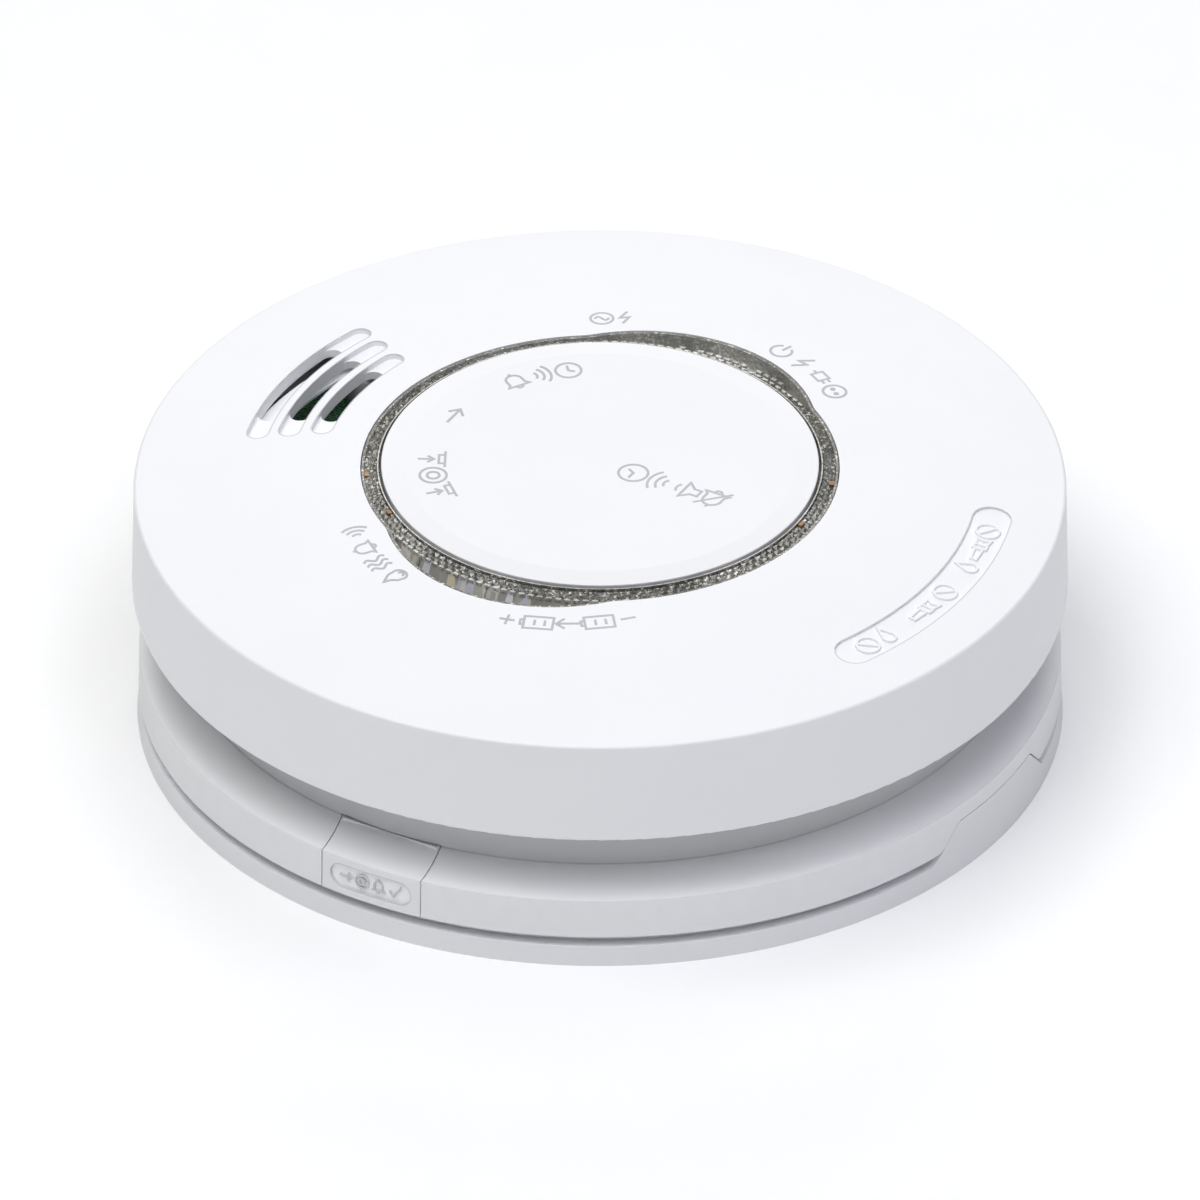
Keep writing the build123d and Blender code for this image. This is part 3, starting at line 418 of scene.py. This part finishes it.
MID_GREY = (0.19, 0.186, 0.17)
LIGHT_GREY = (0.33, 0.325, 0.3)
# painted glint: the near-white of light caught in the clear prisms, given to a few cells
PAINTED_GLINT = (0.93, 0.91, 0.85)
prism_clear_painted_glints = crystal("prism_clear_painted_glints", ((0.25, (0.11, 0.107, 0.09)), (0.5, (0.19, 0.184, 0.16)),
                                      (0.75, (0.33, 0.32, 0.285)), (0.84, PAINTED_GLINT)), 3300.0, 0.2,
                      0.3)
# lining of the opening: the clear plastic's mid grey, made lighter as painted light for the light it
# carries in through the clear plastic
well_clear_and_painted_light = crystal("well_clear_and_painted_light", ((0.3, (0.4, 0.395, 0.365)), (0.65, (0.52, 0.515, 0.485)),
                                    (0.82, (0.8, 0.79, 0.76))), 3000.0, 0.3, 0.15)
tooth_clear = crystal("tooth_clear", ((0.3, (0.42, 0.415, 0.39)), (0.7, (0.8, 0.79, 0.75))),
                      2600.0, 0.25, 0.2)
# smooth outer wall of the band: greys with painted reflection streaks in pale gold, lavender and
# near-white
wall_clear_painted_streaks = crystal("wall_clear_painted_streaks", ((0.2, LIGHT_GREY), (0.42, (0.42, 0.41, 0.38)),
                                    (0.52, (0.6, 0.59, 0.55)), (0.6, (0.78, 0.7, 0.52)),
                                    (0.66, LIGHT_GREY), (0.73, (0.68, 0.67, 0.8)),
                                    (0.79, (0.97, 0.97, 0.94)), (0.84, MID_GREY)),
                     850.0, 0.1, 0.1, stretch=(1, 0.1, 0.06))

finish = {
    "mounting_base": base_plastic, "rear_housing": housing_painted_shade_and_light, "front_cover": white_plastic,
    "release_button": housing_painted_shade_and_light, "test_button": button_plastic,
    "hinge_pin": steel, "lens_screws": steel, "cover_screws": steel, "board_screws": steel,
    "terminal_screws": steel, "block_rivets": steel, "battery_terminals": steel,
    "button_spring": spring_wire, "release_spring": spring_wire, "horn_contacts": spring_wire,
    "insect_screen": woven_screen(), "terminal_clamps": brass, "contact_springs": brass,
    "mains_pads": brass, "piezo_disc": brass, "battery_contacts": brass,
    "terminal_block": block_plastic, "chamber_base": black_plastic, "chamber_cap": black_plastic,
    "controller_chip": black_plastic, "switch_body": black_plastic,
    "bridge_rectifier": black_plastic, "horn_housing": grey_plastic,
    "switch_plunger": grey_plastic, "piezo_ceramic": ceramic, "chip_resistors": ceramic,
    "film_capacitor": capacitor_case, "electrolytic_capacitors": sleeve,
    "varistor": varistor_coat, "fuse_resistor": resistor_coat, "horn_coil": ferrite,
    "power_led": green_lens, "alarm_led": red_lens, "battery_led": amber_lens,
    "infrared_emitter": dark_lens, "photodiode": dark_lens, "battery_9v": battery_material(),
    "main_board": board_material(), "lens_ring": prism_clear_painted_glints,
}
for node, material in finish.items():
    for holder in nodes[node].material_slots:
        holder.material = material


# ---- meshes ----

class Shape:
    """Points and faces of one new piece, each face with its material's number."""

    def __init__(self):
        self.points = []
        self.faces = []
        self.looks = []
        self.strokes = 0

    def face(self, corners, look=0):
        """Face on new points."""
        start = len(self.points)
        self.points.extend(corners)
        self.faces.append(tuple(range(start, len(self.points))))
        self.looks.append(look)

    def strip(self, first, second, look=0, closed=True):
        """Four-sided faces between two equally long rows of points."""
        count = len(first)
        for i in range(count if closed else count - 1):
            j = (i + 1) % count
            self.face([first[i], first[j], second[j], second[i]], look)

    def make(self, name, materials):
        """Object from the shape, with doubled points merged."""
        mesh = bpy.data.meshes.new(name)
        mesh.from_pydata(self.points, [], self.faces)
        for material in materials:
            mesh.materials.append(material)
        mesh.polygons.foreach_set("material_index", self.looks)
        made = bpy.data.objects.new(name, mesh)
        scene.collection.objects.link(made)
        weld = made.modifiers.new("weld", "WELD")
        weld.merge_threshold = 1e-6
        return made


# ---- clear ring round the test button ----

RIM_WIDTH = 0.18
PRISM_ROWS = 3
PRISM_HEIGHT = 0.4
TIP_SHIFT = 0.06
TIP_SHARE = (0.4, 0.6)
TIP_RISE = (-0.1, 0.02)
CRESCENT_HALF_ANGLE = 30
CRESCENT_WALL_FOOT = 33.5
WALL_PARTS = 720
OUTLINE_STEP = 2.0

# pale teeth: their reach from the band's shoulder, and half their width as a share of the pitch
TOOTH_IN, TOOTH_OUT, TOOTH_DOWN, TOOTH_UP = 0.15, 0.3, 0.35, 0.1
TOOTH_SHARE = 0.32

# thin ribs, one at each ninth tooth, from below the shoulder to just outside the wall's foot
RIB_STEP = 9
RIB_SHARE = 0.07
RIB_DROP = 0.2
RIB_PROUD = 0.1

# pale blocks on a crescent's floor: radii, and the stretch of the ring they stand on in degrees
BLOCK_INNER, BLOCK_OUTER = 33.9, 34.4
BLOCK_HEIGHT = 1.5
BLOCK_SHARE = 0.3
BLOCK_MIDDLE, BLOCK_HALF_ANGLE = 86, 15
BLOCK_GAP_STEP = 7

# copper light guides: the radius and the angle of each
GUIDE_PLACES = ((32.4, 24), (31.3, 3), (32.4, 212), (31.3, 231))
GUIDE_HALF_WIDTH = 0.35
GUIDE_HALF_ANGLE = 0.8


def opening_outline(inset):
    """Points round the cover's opening, moved inwards by inset: a circle with two crescents."""
    reach = OPENING_RADIUS + OPENING_BLEND
    span = CRESCENT_RADIUS + OPENING_BLEND
    blend_y = (reach ** 2 - span ** 2 + CRESCENT_OFFSET ** 2) / (2 * CRESCENT_OFFSET)
    blend_x = math.sqrt(reach ** 2 - blend_y ** 2)
    round_end = math.degrees(math.atan2(blend_y, blend_x))
    crescent_start = math.degrees(math.atan2(blend_y - CRESCENT_OFFSET, blend_x))
    arcs = ((0, 0, OPENING_RADIUS - inset, 0, round_end),
            (blend_x, blend_y, OPENING_BLEND + inset, round_end + 180, crescent_start + 180),
            (0, CRESCENT_OFFSET, CRESCENT_RADIUS - inset, crescent_start, 90))
    quarter = []
    # an arc's length is about its angle in degrees times its radius over 60
    for x, y, radius, start, end in arcs:
        steps = max(int(abs(end - start) * radius / 60 / OUTLINE_STEP), 3)
        for i in range(steps):
            turn = math.radians(start + (end - start) * i / steps)
            quarter.append((x + radius * math.cos(turn), y + radius * math.sin(turn)))
    quarter.append((0, CRESCENT_OFFSET + CRESCENT_RADIUS - inset))
    left = [(-x, y) for x, y in reversed(quarter[:-1])]
    upper = quarter + left
    return upper + [(-x, -y) for x, y in upper[1:-1]]


def circle(radius, z):
    """Points of a level circle."""
    return [polar(radius, 360 * i / PRISM_COUNT, z) for i in range(PRISM_COUNT)]


def matching_circle(outline, radius, z):
    """One point of a level circle towards each point of the outline."""
    return [polar(radius, math.degrees(math.atan2(y, x)), z) for x, y in outline]


PRISM, WELL, WALL, TOOTH, COPPER = range(5)
lens = Shape()
# inner lip, bore and underside, then the flange under the cover
lens.strip(circle(LIP_RADIUS, FLANGE_BOTTOM), circle(LIP_RADIUS, LIP_TOP), WELL)
lens.strip(circle(LIP_RADIUS, LIP_TOP), circle(BAND_INNER, LIP_TOP), WELL)
lens.strip(circle(BAND_INNER, LIP_TOP), circle(BAND_INNER, BAND_TOP), WALL)
lens.strip(circle(FLANGE_RADIUS, FLANGE_BOTTOM), circle(LIP_RADIUS, FLANGE_BOTTOM), WELL)
lens.strip(circle(FLANGE_RADIUS, FLANGE_TOP), circle(FLANGE_RADIUS, FLANGE_BOTTOM), WELL)

# bright rim beside the button, then rows of small pyramids
row_width = (BAND_OUTER - BAND_INNER - RIM_WIDTH) / PRISM_ROWS
rim_outer = BAND_INNER + RIM_WIDTH
lens.strip(circle(BAND_INNER, BAND_TOP), circle(rim_outer, BAND_TOP), TOOTH)
lens.strip(circle(rim_outer, BAND_TOP), circle(rim_outer, BAND_TOP - PRISM_HEIGHT), PRISM)
pitch = 360 / PRISM_COUNT


def in_crescent(angle):
    """True where the opening widens into one of its two crescents."""
    return abs(math.sin(math.radians(angle))) > math.cos(math.radians(CRESCENT_HALF_ANGLE))


for row in range(PRISM_ROWS):
    inner = rim_outer + row * row_width
    outer = inner + row_width
    inner_z = band_height(inner) - PRISM_HEIGHT
    outer_z = band_height(outer) - PRISM_HEIGHT
    for i in range(PRISM_COUNT):
        start = pitch * (i + 0.5 * row)
        tip = polar((inner + outer) / 2 + random.uniform(-TIP_SHIFT, TIP_SHIFT),
                    start + pitch * random.uniform(*TIP_SHARE),
                    band_height((inner + outer) / 2) + random.uniform(*TIP_RISE))
        if row == PRISM_ROWS - 1 and in_crescent(start + pitch / 2):
            continue
        corners = [polar(inner, start, inner_z), polar(outer, start, outer_z),
                   polar(outer, start + pitch, outer_z), polar(inner, start + pitch, inner_z)]
        for j in range(4):
            lens.face([corners[j], corners[(j + 1) % 4], tip], PRISM)

# smooth outer wall of the band, the wells at the two crescents and the lining of the opening
outline = opening_outline(LENS_INSET)
inner_outline = opening_outline(LENS_INSET + LENS_LINING)
last_row = BAND_OUTER - row_width
shoulder = band_height(last_row) - PRISM_HEIGHT
wall_top, wall_foot = [], []
for i in range(WALL_PARTS):
    angle = 360 * i / WALL_PARTS
    slanted = in_crescent(angle)
    wall_top.append(polar(last_row if slanted else BAND_OUTER, angle,
                          shoulder if slanted else BAND_EDGE - PRISM_HEIGHT))
    wall_foot.append(polar(CRESCENT_WALL_FOOT if slanted else BAND_OUTER, angle, FLANGE_TOP))
lens.strip(wall_top, wall_foot, WALL)
lens.strip(matching_circle(inner_outline, BAND_OUTER, FLANGE_TOP),
           [mm(x, y, FLANGE_TOP) for x, y in inner_outline], WELL)
lining_inside = [mm(x, y, cover_surface(x, y) - LINING_DROP) for x, y in inner_outline]
lining_outside = [mm(x, y, cover_surface(x, y) - LINING_DROP) for x, y in outline]
lens.strip([mm(x, y, FLANGE_TOP) for x, y in inner_outline], lining_inside, WELL)
lens.strip(lining_inside, lining_outside, PRISM)
lens.strip(lining_outside, [mm(x, y, FLANGE_TOP) for x, y in outline], WELL)
lens.strip([mm(x, y, FLANGE_TOP) for x, y in outline],
           matching_circle(outline, FLANGE_RADIUS, FLANGE_TOP), WELL)


def block(inner, outer, start, end, bottom, top, look):
    """Small curved block between two radii, two angles and two heights."""
    ring = [(inner, start), (outer, start), (outer, end), (inner, end)]
    low = [polar(radius, angle, bottom) for radius, angle in ring]
    high = [polar(radius, angle, top) for radius, angle in ring]
    lens.face(high, look)
    lens.face(low[::-1], look)
    for i in range(4):
        j = (i + 1) % 4
        lens.face([low[i], low[j], high[j], high[i]], look)


# pale teeth along the band's shoulder inside the crescents, and thin ribs down its smooth wall
tooth_half = pitch * TOOTH_SHARE
rib_half = pitch * RIB_SHARE
rib_foot = CRESCENT_WALL_FOOT + RIB_PROUD
for i in range(PRISM_COUNT):
    angle = pitch * (i + 0.5)
    if in_crescent(angle):
        block(last_row - TOOTH_IN, last_row + TOOTH_OUT, angle - tooth_half, angle + tooth_half,
              shoulder - TOOTH_DOWN, shoulder + TOOTH_UP, TOOTH)
        if i % RIB_STEP == 0:
            lens.face([polar(last_row + TOOTH_OUT, angle - rib_half, shoulder - RIB_DROP),
                       polar(rib_foot, angle - rib_half, FLANGE_TOP),
                       polar(rib_foot, angle + rib_half, FLANGE_TOP),
                       polar(last_row + TOOTH_OUT, angle + rib_half, shoulder - RIB_DROP)], PRISM)

# second row of pale blocks on the floor of the +Y crescent, with a gap at each seventh place
block_half = pitch * BLOCK_SHARE
for i in range(PRISM_COUNT):
    angle = pitch * (i + 0.5)
    if abs(angle - BLOCK_MIDDLE) < BLOCK_HALF_ANGLE and i % BLOCK_GAP_STEP:
        block(BLOCK_INNER, BLOCK_OUTER, angle - block_half, angle + block_half, FLANGE_TOP,
              FLANGE_TOP + BLOCK_HEIGHT, TOOTH)

# four copper light guides set in the ring
for radius, angle in GUIDE_PLACES:
    top = band_height(radius)
    block(radius - GUIDE_HALF_WIDTH, radius + GUIDE_HALF_WIDTH, angle - GUIDE_HALF_ANGLE,
          angle + GUIDE_HALF_ANGLE, top - PRISM_HEIGHT, top, COPPER)

lens_piece = lens.make("clear_ring", (prism_clear_painted_glints, well_clear_and_painted_light, wall_clear_painted_streaks, tooth_clear, copper))
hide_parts("lens_ring")
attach(lens_piece, "head")


# ---- marks, drawn as thin strokes that follow the face they lie on ----

ARC_STEP = 12
WAVE_STEPS = 16
STROKE_STEP = 0.8
LAYER = 0.004
LAYER_COUNT = 6
SHARPEST_MITRE = 0.5
ROOT = 0.05  # how far a mark's sides go into the face they lie on


def arc(x, y, radius, start, end):
    """Points of an arc in a mark's own plane, angles in degrees."""
    steps = max(int(abs(end - start) / ARC_STEP), 2)
    turns = [math.radians(start + (end - start) * i / steps) for i in range(steps + 1)]
    return [(x + radius * math.cos(t), y + radius * math.sin(t)) for t in turns]


def rectangle(left, bottom, right, top):
    """Closed outline of a rectangle."""
    return [(left, bottom), (right, bottom), (right, top), (left, top), (left, bottom)]


def wave(left, right, height, turns=1.0):
    """Sine line from left to right."""
    return [(left + (right - left) * i / WAVE_STEPS,
             height * math.sin(math.tau * turns * i / WAVE_STEPS)) for i in range(WAVE_STEPS + 1)]


# each mark is a list of strokes round its middle, at most about 1 unit high
BELL = [[(-0.42, -0.3), (-0.3, -0.16), (-0.3, 0.08)] + arc(0, 0.08, 0.3, 180, 0)
        + [(0.3, -0.16), (0.42, -0.3), (-0.42, -0.3)], arc(0, -0.32, 0.12, 190, 350),
        [(0, 0.38), (0, 0.5)]]
SOUND = [arc(-0.4, 0, 0.25, -45, 45), arc(-0.4, 0, 0.5, -45, 45), arc(-0.4, 0, 0.75, -42, 42)]
SLASH = [[(-0.45, -0.48), (0.45, 0.48)]]
TARGET = [arc(0, 0, 0.48, 0, 360), arc(0, 0, 0.22, 0, 360)]
ARROW = [[(-0.5, 0), (0.42, 0)], [(0.12, 0.3), (0.45, 0), (0.12, -0.3)]]
PRESS = [[(-0.5, -0.48), (0.5, -0.48)],
         [(-0.27, -0.48), (-0.27, -0.26), (0.27, -0.26), (0.27, -0.48)],
         [(0, 0.5), (0, -0.06)], [(-0.2, 0.14), (0, -0.08), (0.2, 0.14)]]
TICK = [[(-0.4, -0.05), (-0.1, -0.4), (0.45, 0.45)]]
SPEAKER = [[(-0.45, -0.16), (-0.2, -0.16), (0.08, -0.42), (0.08, 0.42), (-0.2, 0.16),
            (-0.45, 0.16), (-0.45, -0.16)], arc(0.05, 0, 0.3, -40, 40)]
CLOCK = [arc(0, 0, 0.46, 0, 360), [(0, 0.3), (0, 0), (0.22, -0.12)]]
MAINS = [arc(0, 0, 0.48, 0, 360), wave(-0.3, 0.3, 0.16)]
POWER = [arc(0, -0.05, 0.42, 120, 420), [(0, 0.5), (0, 0.02)]]
BOLT = [[(0.12, 0.5), (-0.22, -0.04), (0.2, 0.04), (-0.1, -0.5)]]
PLUG = [rectangle(-0.3, -0.25, 0.25, 0.25), [(0.25, 0.13), (0.5, 0.13)],
        [(0.25, -0.13), (0.5, -0.13)], [(-0.3, 0), (-0.5, 0)]]
SOCKET = [arc(0, 0, 0.45, 0, 360), arc(-0.17, 0, 0.06, 0, 360), arc(0.17, 0, 0.06, 0, 360)]
FLAME = [arc(0, -0.16, 0.34, 200, 340) + [(0.3, 0.1), (0.05, 0.5), (-0.05, 0.2), (-0.22, 0.05),
                                         (-0.32, -0.27)], arc(0, -0.26, 0.13, 180, 360)]
SMOKE = [[(y + shift, x) for x, y in wave(-0.45, 0.45, 0.1, 1.5)] for shift in (-0.3, 0, 0.3)]
BATTERY = [rectangle(-0.62, -0.36, 0.52, 0.36),
           [(0.56, -0.14), (0.66, -0.14), (0.66, 0.14), (0.56, 0.14)],
           [(-0.3, -0.16), (-0.3, 0.16)], [(0.1, -0.16), (0.1, 0.16)]]
PLUS = [[(-0.3, 0), (0.3, 0)], [(0, -0.3), (0, 0.3)]]
MINUS = [[(-0.3, 0), (0.3, 0)]]
FORBIDDEN = [arc(0, 0, 0.48, 0, 360), [(-0.34, 0.34), (0.34, -0.34)]]
BRUSH = [[(-0.75, -0.12), (0.0, -0.17), (0.0, 0.17), (-0.75, 0.12), (-0.75, -0.12)],
         rectangle(0.06, -0.27, 0.3, 0.27), [(0.36, -0.24), (0.72, -0.3), (0.6, 0), (0.72, 0.3),
                                            (0.36, 0.24)]]
DROP = [arc(0, -0.15, 0.28, 150, 390) + [(0, 0.5), (-0.24, -0.01)]]


def fine(path, step):
    """The path with points added so that none is further than step from the next."""
    points = [path[0]]
    for (x0, y0), (x1, y1) in zip(path, path[1:]):
        steps = max(math.ceil(math.hypot(x1 - x0, y1 - y0) / step), 1)
        points += [(x0 + (x1 - x0) * i / steps, y0 + (y1 - y0) * i / steps)
                   for i in range(1, steps + 1)]
    return points


def add_stroke(shape, path, width, place, top, bottom, draft=0.0):
    """Ribbon along the path, from the bottom level to the top level over the face.

    Its top is narrower by the draft on each side. Each following stroke lies a hair higher, in
    turns, so that strokes which cross don't share one plane.
    """
    top += LAYER * (shape.strokes % LAYER_COUNT)
    shape.strokes += 1
    closed = math.dist(path[0], path[-1]) < 1e-6
    points = fine(path, STROKE_STEP)
    if closed:
        points = points[:-1]
    count = len(points)
    rows = {"low_left": [], "high_left": [], "high_right": [], "low_right": []}
    for i, (x, y) in enumerate(points):
        before = points[i - 1] if closed or i else points[i]
        after = points[(i + 1) % count] if closed or i < count - 1 else points[i]
        run_in = Vector((x - before[0], y - before[1]))
        run_out = Vector((after[0] - x, after[1] - y))
        if not run_in.length:
            run_in = run_out
        if not run_out.length:
            run_out = run_in
        run_in, run_out = run_in.normalized(), run_out.normalized()
        side = Vector((-run_in.y - run_out.y, run_in.x + run_out.x)).normalized()
        corner = max(abs(side.dot(Vector((-run_in.y, run_in.x)))), SHARPEST_MITRE)
        for key, sign, rise, slim in (("low_left", 1, bottom, 0), ("high_left", 1, top, draft),
                                       ("high_right", -1, top, draft), ("low_right", -1, bottom, 0)):
            reach = sign * (width / 2 - slim) / corner
            px, py = x + side.x * reach, y + side.y * reach
            rows[key].append(place(px, py, rise))
    names = list(rows)
    for first, second in zip(names, names[1:] + names[:1]):
        shape.strip(rows[first], rows[second], 0, closed)
    if not closed:
        shape.face([rows[key][0] for key in names])
        shape.face([rows[key][-1] for key in reversed(names)])


def add_marks(shape, marks, ring, start, end, size, place, width, top, bottom, draft=0.0):
    """Marks spread along an arc from its start angle to its end angle.

    Their tops point away from the arc's centre, or towards it where the radius is negative.
    """
    centre_x, centre_y, radius = ring
    for i, mark in enumerate(marks):
        turn = math.radians(start + (end - start) * (i + 0.5) / len(marks))
        facing = Vector((math.cos(turn), math.sin(turn)))
        spot = Vector((centre_x, centre_y)) + facing * abs(radius)
        outward = facing if radius > 0 else -facing
        along = Vector((outward.y, -outward.x))
        for path in mark:
            placed = [spot + along * (u * size) + outward * (v * size) for u, v in path]
            add_stroke(shape, [(p.x, p.y) for p in placed], width, place, top, bottom, draft)


def add_line_of_marks(shape, marks, start_x, end_x, y, size, place, width, top, bottom):
    """Marks in a straight row. A negative size turns them round."""
    for i, mark in enumerate(marks):
        x = start_x + (end_x - start_x) * (i + 0.5) / len(marks)
        for path in mark:
            add_stroke(shape, [(x + u * size, y + v * size) for u, v in path], width, place,
                       top, bottom)


PILL_RADIUS = 63.69
PILL_MIDDLE = 7.65
PILL_LENGTH = 13.05
PILL_HEIGHT = 3.9
PILL_LINE = 0.14


def on_button(x, y, rise):
    """Point above the test button's face."""
    return mm(x, y, button_surface(x, y) + rise)


def on_cover(x, y, rise):
    """Point above the cover's face."""
    return mm(x, y, cover_surface(x, y) + rise)


def on_release(across, up, rise):
    """Point above the floor of the release button's pill, across and up from its middle."""
    turn = -90 + math.degrees(across / PILL_RADIUS)
    return polar(PILL_RADIUS + rise, turn, PILL_MIDDLE + up)


INK_TOP, INK_BOTTOM, INK_WIDTH = 0.03, -0.04, 0.37
ink = (INK_WIDTH, INK_TOP, INK_BOTTOM)

# centre x, centre y and radius of the arcs that marks stand on, and the marks' sizes
BUTTON_RING = (0, 0, 23.4)
FAR_RING = (0, 9, 30.5)
NEAR_RING = (0, -9, 30.5)
LABEL_RING = (0, 0, -LABEL_RADIUS)
BUTTON_MARK = 3.9
BUTTON_LINE_MARK = -4.5
BUTTON_LINE_START, BUTTON_LINE_END = 3.2, 20.3
LABEL_MARK = 3.4

# each group of marks has a start angle and an end angle on its arc
button_marks = Shape()
for start, end, marks in ((233, 203, (PRESS, TARGET, PRESS)), (186, 174, (ARROW,)),
                          (155, 126, (BELL, SOUND, CLOCK))):
    add_marks(button_marks, marks, BUTTON_RING, start, end, BUTTON_MARK, on_button, *ink)
add_line_of_marks(button_marks, (CLOCK, SOUND, SPEAKER, BELL + SLASH), BUTTON_LINE_START,
                  BUTTON_LINE_END, 0, BUTTON_LINE_MARK, on_button, *ink)
button_marks_piece = button_marks.make("button_marks", (mark_ink,))
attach(button_marks_piece, "test_button")

cover_marks = Shape()
for ring, start, end, size, marks in (
        (FAR_RING, 131, 119, 3.3, (MAINS, BOLT)),
        (FAR_RING, 81, 49, 3.6, (POWER, BOLT, PLUG, SOCKET)),
        (NEAR_RING, 252, 221, 3.6, (FLAME, SMOKE, BELL, SOUND)),
        (NEAR_RING, 320, 280, 3.6, (MINUS, BATTERY, ARROW, BATTERY, PLUS))):
    add_marks(cover_marks, marks, ring, start, end, size, on_cover, *ink)
cover_marks_piece = cover_marks.make("cover_marks", (mark_ink,))
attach(cover_marks_piece, "head")

# raised out of the label's floor, with drafted sides
LABEL_STROKE, LABEL_TOP, LABEL_DRAFT = 0.5, -0.06, 0.1
label_bottom = -LABEL_DEPTH - ROOT
label_marks = Shape()
for start, end, marks in ((-19.5, -12, (FORBIDDEN, DROP)), (-8.5, 3, (BRUSH, FORBIDDEN)),
                          (5, 19.5, (DROP, BRUSH, FORBIDDEN))):
    add_marks(label_marks, marks, LABEL_RING, start, end, LABEL_MARK, on_cover, LABEL_STROKE,
              LABEL_TOP, label_bottom, LABEL_DRAFT)
label_marks_piece = label_marks.make("label_marks", (white_plastic,))
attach(label_marks_piece, "head")


# ---- painted shade along the edges of the cover's recesses ----

SLOT_SIDE_STEPS = 12
SLOT_END_STEPS = 8
EDGE_WIDTH, EDGE_TOP, EDGE_BOTTOM = 0.16, 0.012, -0.06


def slot_outline(radius, half_angle, width, middle):
    """Closed outline of a curved slot with round ends, centred on the Z axis."""
    path = []
    for side in (1, -1):
        reach = radius + side * width / 2
        for i in range(SLOT_SIDE_STEPS + 1):
            turn = math.radians(middle + side * half_angle * (2 * i / SLOT_SIDE_STEPS - 1))
            path.append((reach * math.cos(turn), reach * math.sin(turn)))
        end = middle + side * half_angle
        end_x, end_y = radius * math.cos(math.radians(end)), radius * math.sin(math.radians(end))
        for i in range(1, SLOT_END_STEPS):
            turn = math.radians(end + (90 - 90 * side) + 180 * i / SLOT_END_STEPS)
            path.append((end_x + width / 2 * math.cos(turn), end_y + width / 2 * math.sin(turn)))
    return path + path[:1]


recess_shade_lines = Shape()
add_stroke(recess_shade_lines, slot_outline(LABEL_RADIUS, LABEL_HALF_ANGLE, LABEL_WIDTH + EDGE_WIDTH, 0),
           EDGE_WIDTH, on_cover, EDGE_TOP, EDGE_BOTTOM)
for radius, half_length in zip(SLOT_RADII, SLOT_HALF_LENGTHS):
    half_angle = math.degrees((half_length - SLOT_WIDTH / 2) / radius)
    add_stroke(recess_shade_lines, slot_outline(radius, half_angle, SLOT_WIDTH + EDGE_WIDTH, 180),
               EDGE_WIDTH, on_cover, EDGE_TOP, EDGE_BOTTOM)
recess_shade_lines_piece = recess_shade_lines.make("recess_shade_lines", (edge_shade,))
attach(recess_shade_lines_piece, "head")


# ---- raised marks in the release button's pill, inside a thin raised outline, both grey as painted shade ----

RELEASE_MARK = 2.2
RELEASE_LINE_HALF = 5.2
RELEASE_STROKE, RELEASE_TOP = 0.26, 0.22
PILL_LINE_TOP = 0.3
release_marks = Shape()
add_line_of_marks(release_marks, (ARROW, TARGET, BELL, TICK), -RELEASE_LINE_HALF,
                  RELEASE_LINE_HALF, 0, RELEASE_MARK, on_release, RELEASE_STROKE, RELEASE_TOP,
                  -ROOT)
round_end = PILL_HEIGHT / 2 - PILL_LINE / 2
straight = (PILL_LENGTH - PILL_HEIGHT) / 2
right_end = arc(straight, 0, round_end, -90, 90)
add_stroke(release_marks, right_end + arc(-straight, 0, round_end, 90, 270) + right_end[:1],
           PILL_LINE, on_release, PILL_LINE_TOP, -ROOT)
# the grey of these raised marks and their outline is painted shade
release_marks_piece = release_marks.make("release_marks", (edge_shade,))
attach(release_marks_piece, "release_button")


# ---- printed signs beside the battery's two terminals ----

BATTERY_SIGN_SHIFT = 6.35
BATTERY_SIGN_INSET = 7
BATTERY_SIGN_SIZE = 8
BATTERY_SIGN_STROKE = 1.2
battery_marks = Shape()
battery_low, battery_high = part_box("battery_9v")
battery_middle = (battery_low.x + battery_high.x) / 2 * 1000


def on_battery(x, y, rise):
    """Point under the battery's lower face."""
    return mm(x, y, battery_low.z * 1000 - rise)


for mark, shift in ((PLUS, BATTERY_SIGN_SHIFT), (MINUS, -BATTERY_SIGN_SHIFT)):
    for path in mark:
        placed = [(battery_middle + shift + u * BATTERY_SIGN_SIZE,
                   battery_high.y * 1000 - BATTERY_SIGN_INSET + v * BATTERY_SIGN_SIZE)
                  for u, v in path]
        add_stroke(battery_marks, placed, BATTERY_SIGN_STROKE, on_battery, INK_TOP, -ROOT)
battery_marks_piece = battery_marks.make("battery_marks", (battery_ink,))
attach(battery_marks_piece, "head")


# ---- floor ----

FLOOR_HALF = 3.0
floor_mesh = bpy.data.meshes.new("floor")
floor_mesh.from_pydata([(-FLOOR_HALF, -FLOOR_HALF, 0), (FLOOR_HALF, -FLOOR_HALF, 0),
                        (FLOOR_HALF, FLOOR_HALF, 0), (-FLOOR_HALF, FLOOR_HALF, 0)], [],
                       [(0, 1, 2, 3)])
floor = bpy.data.objects.new("floor", floor_mesh)
scene.collection.objects.link(floor)
floor_mesh.materials.append(surface("floor_paper", (0.97, 0.97, 0.97), 0.8, mottle=0.004))
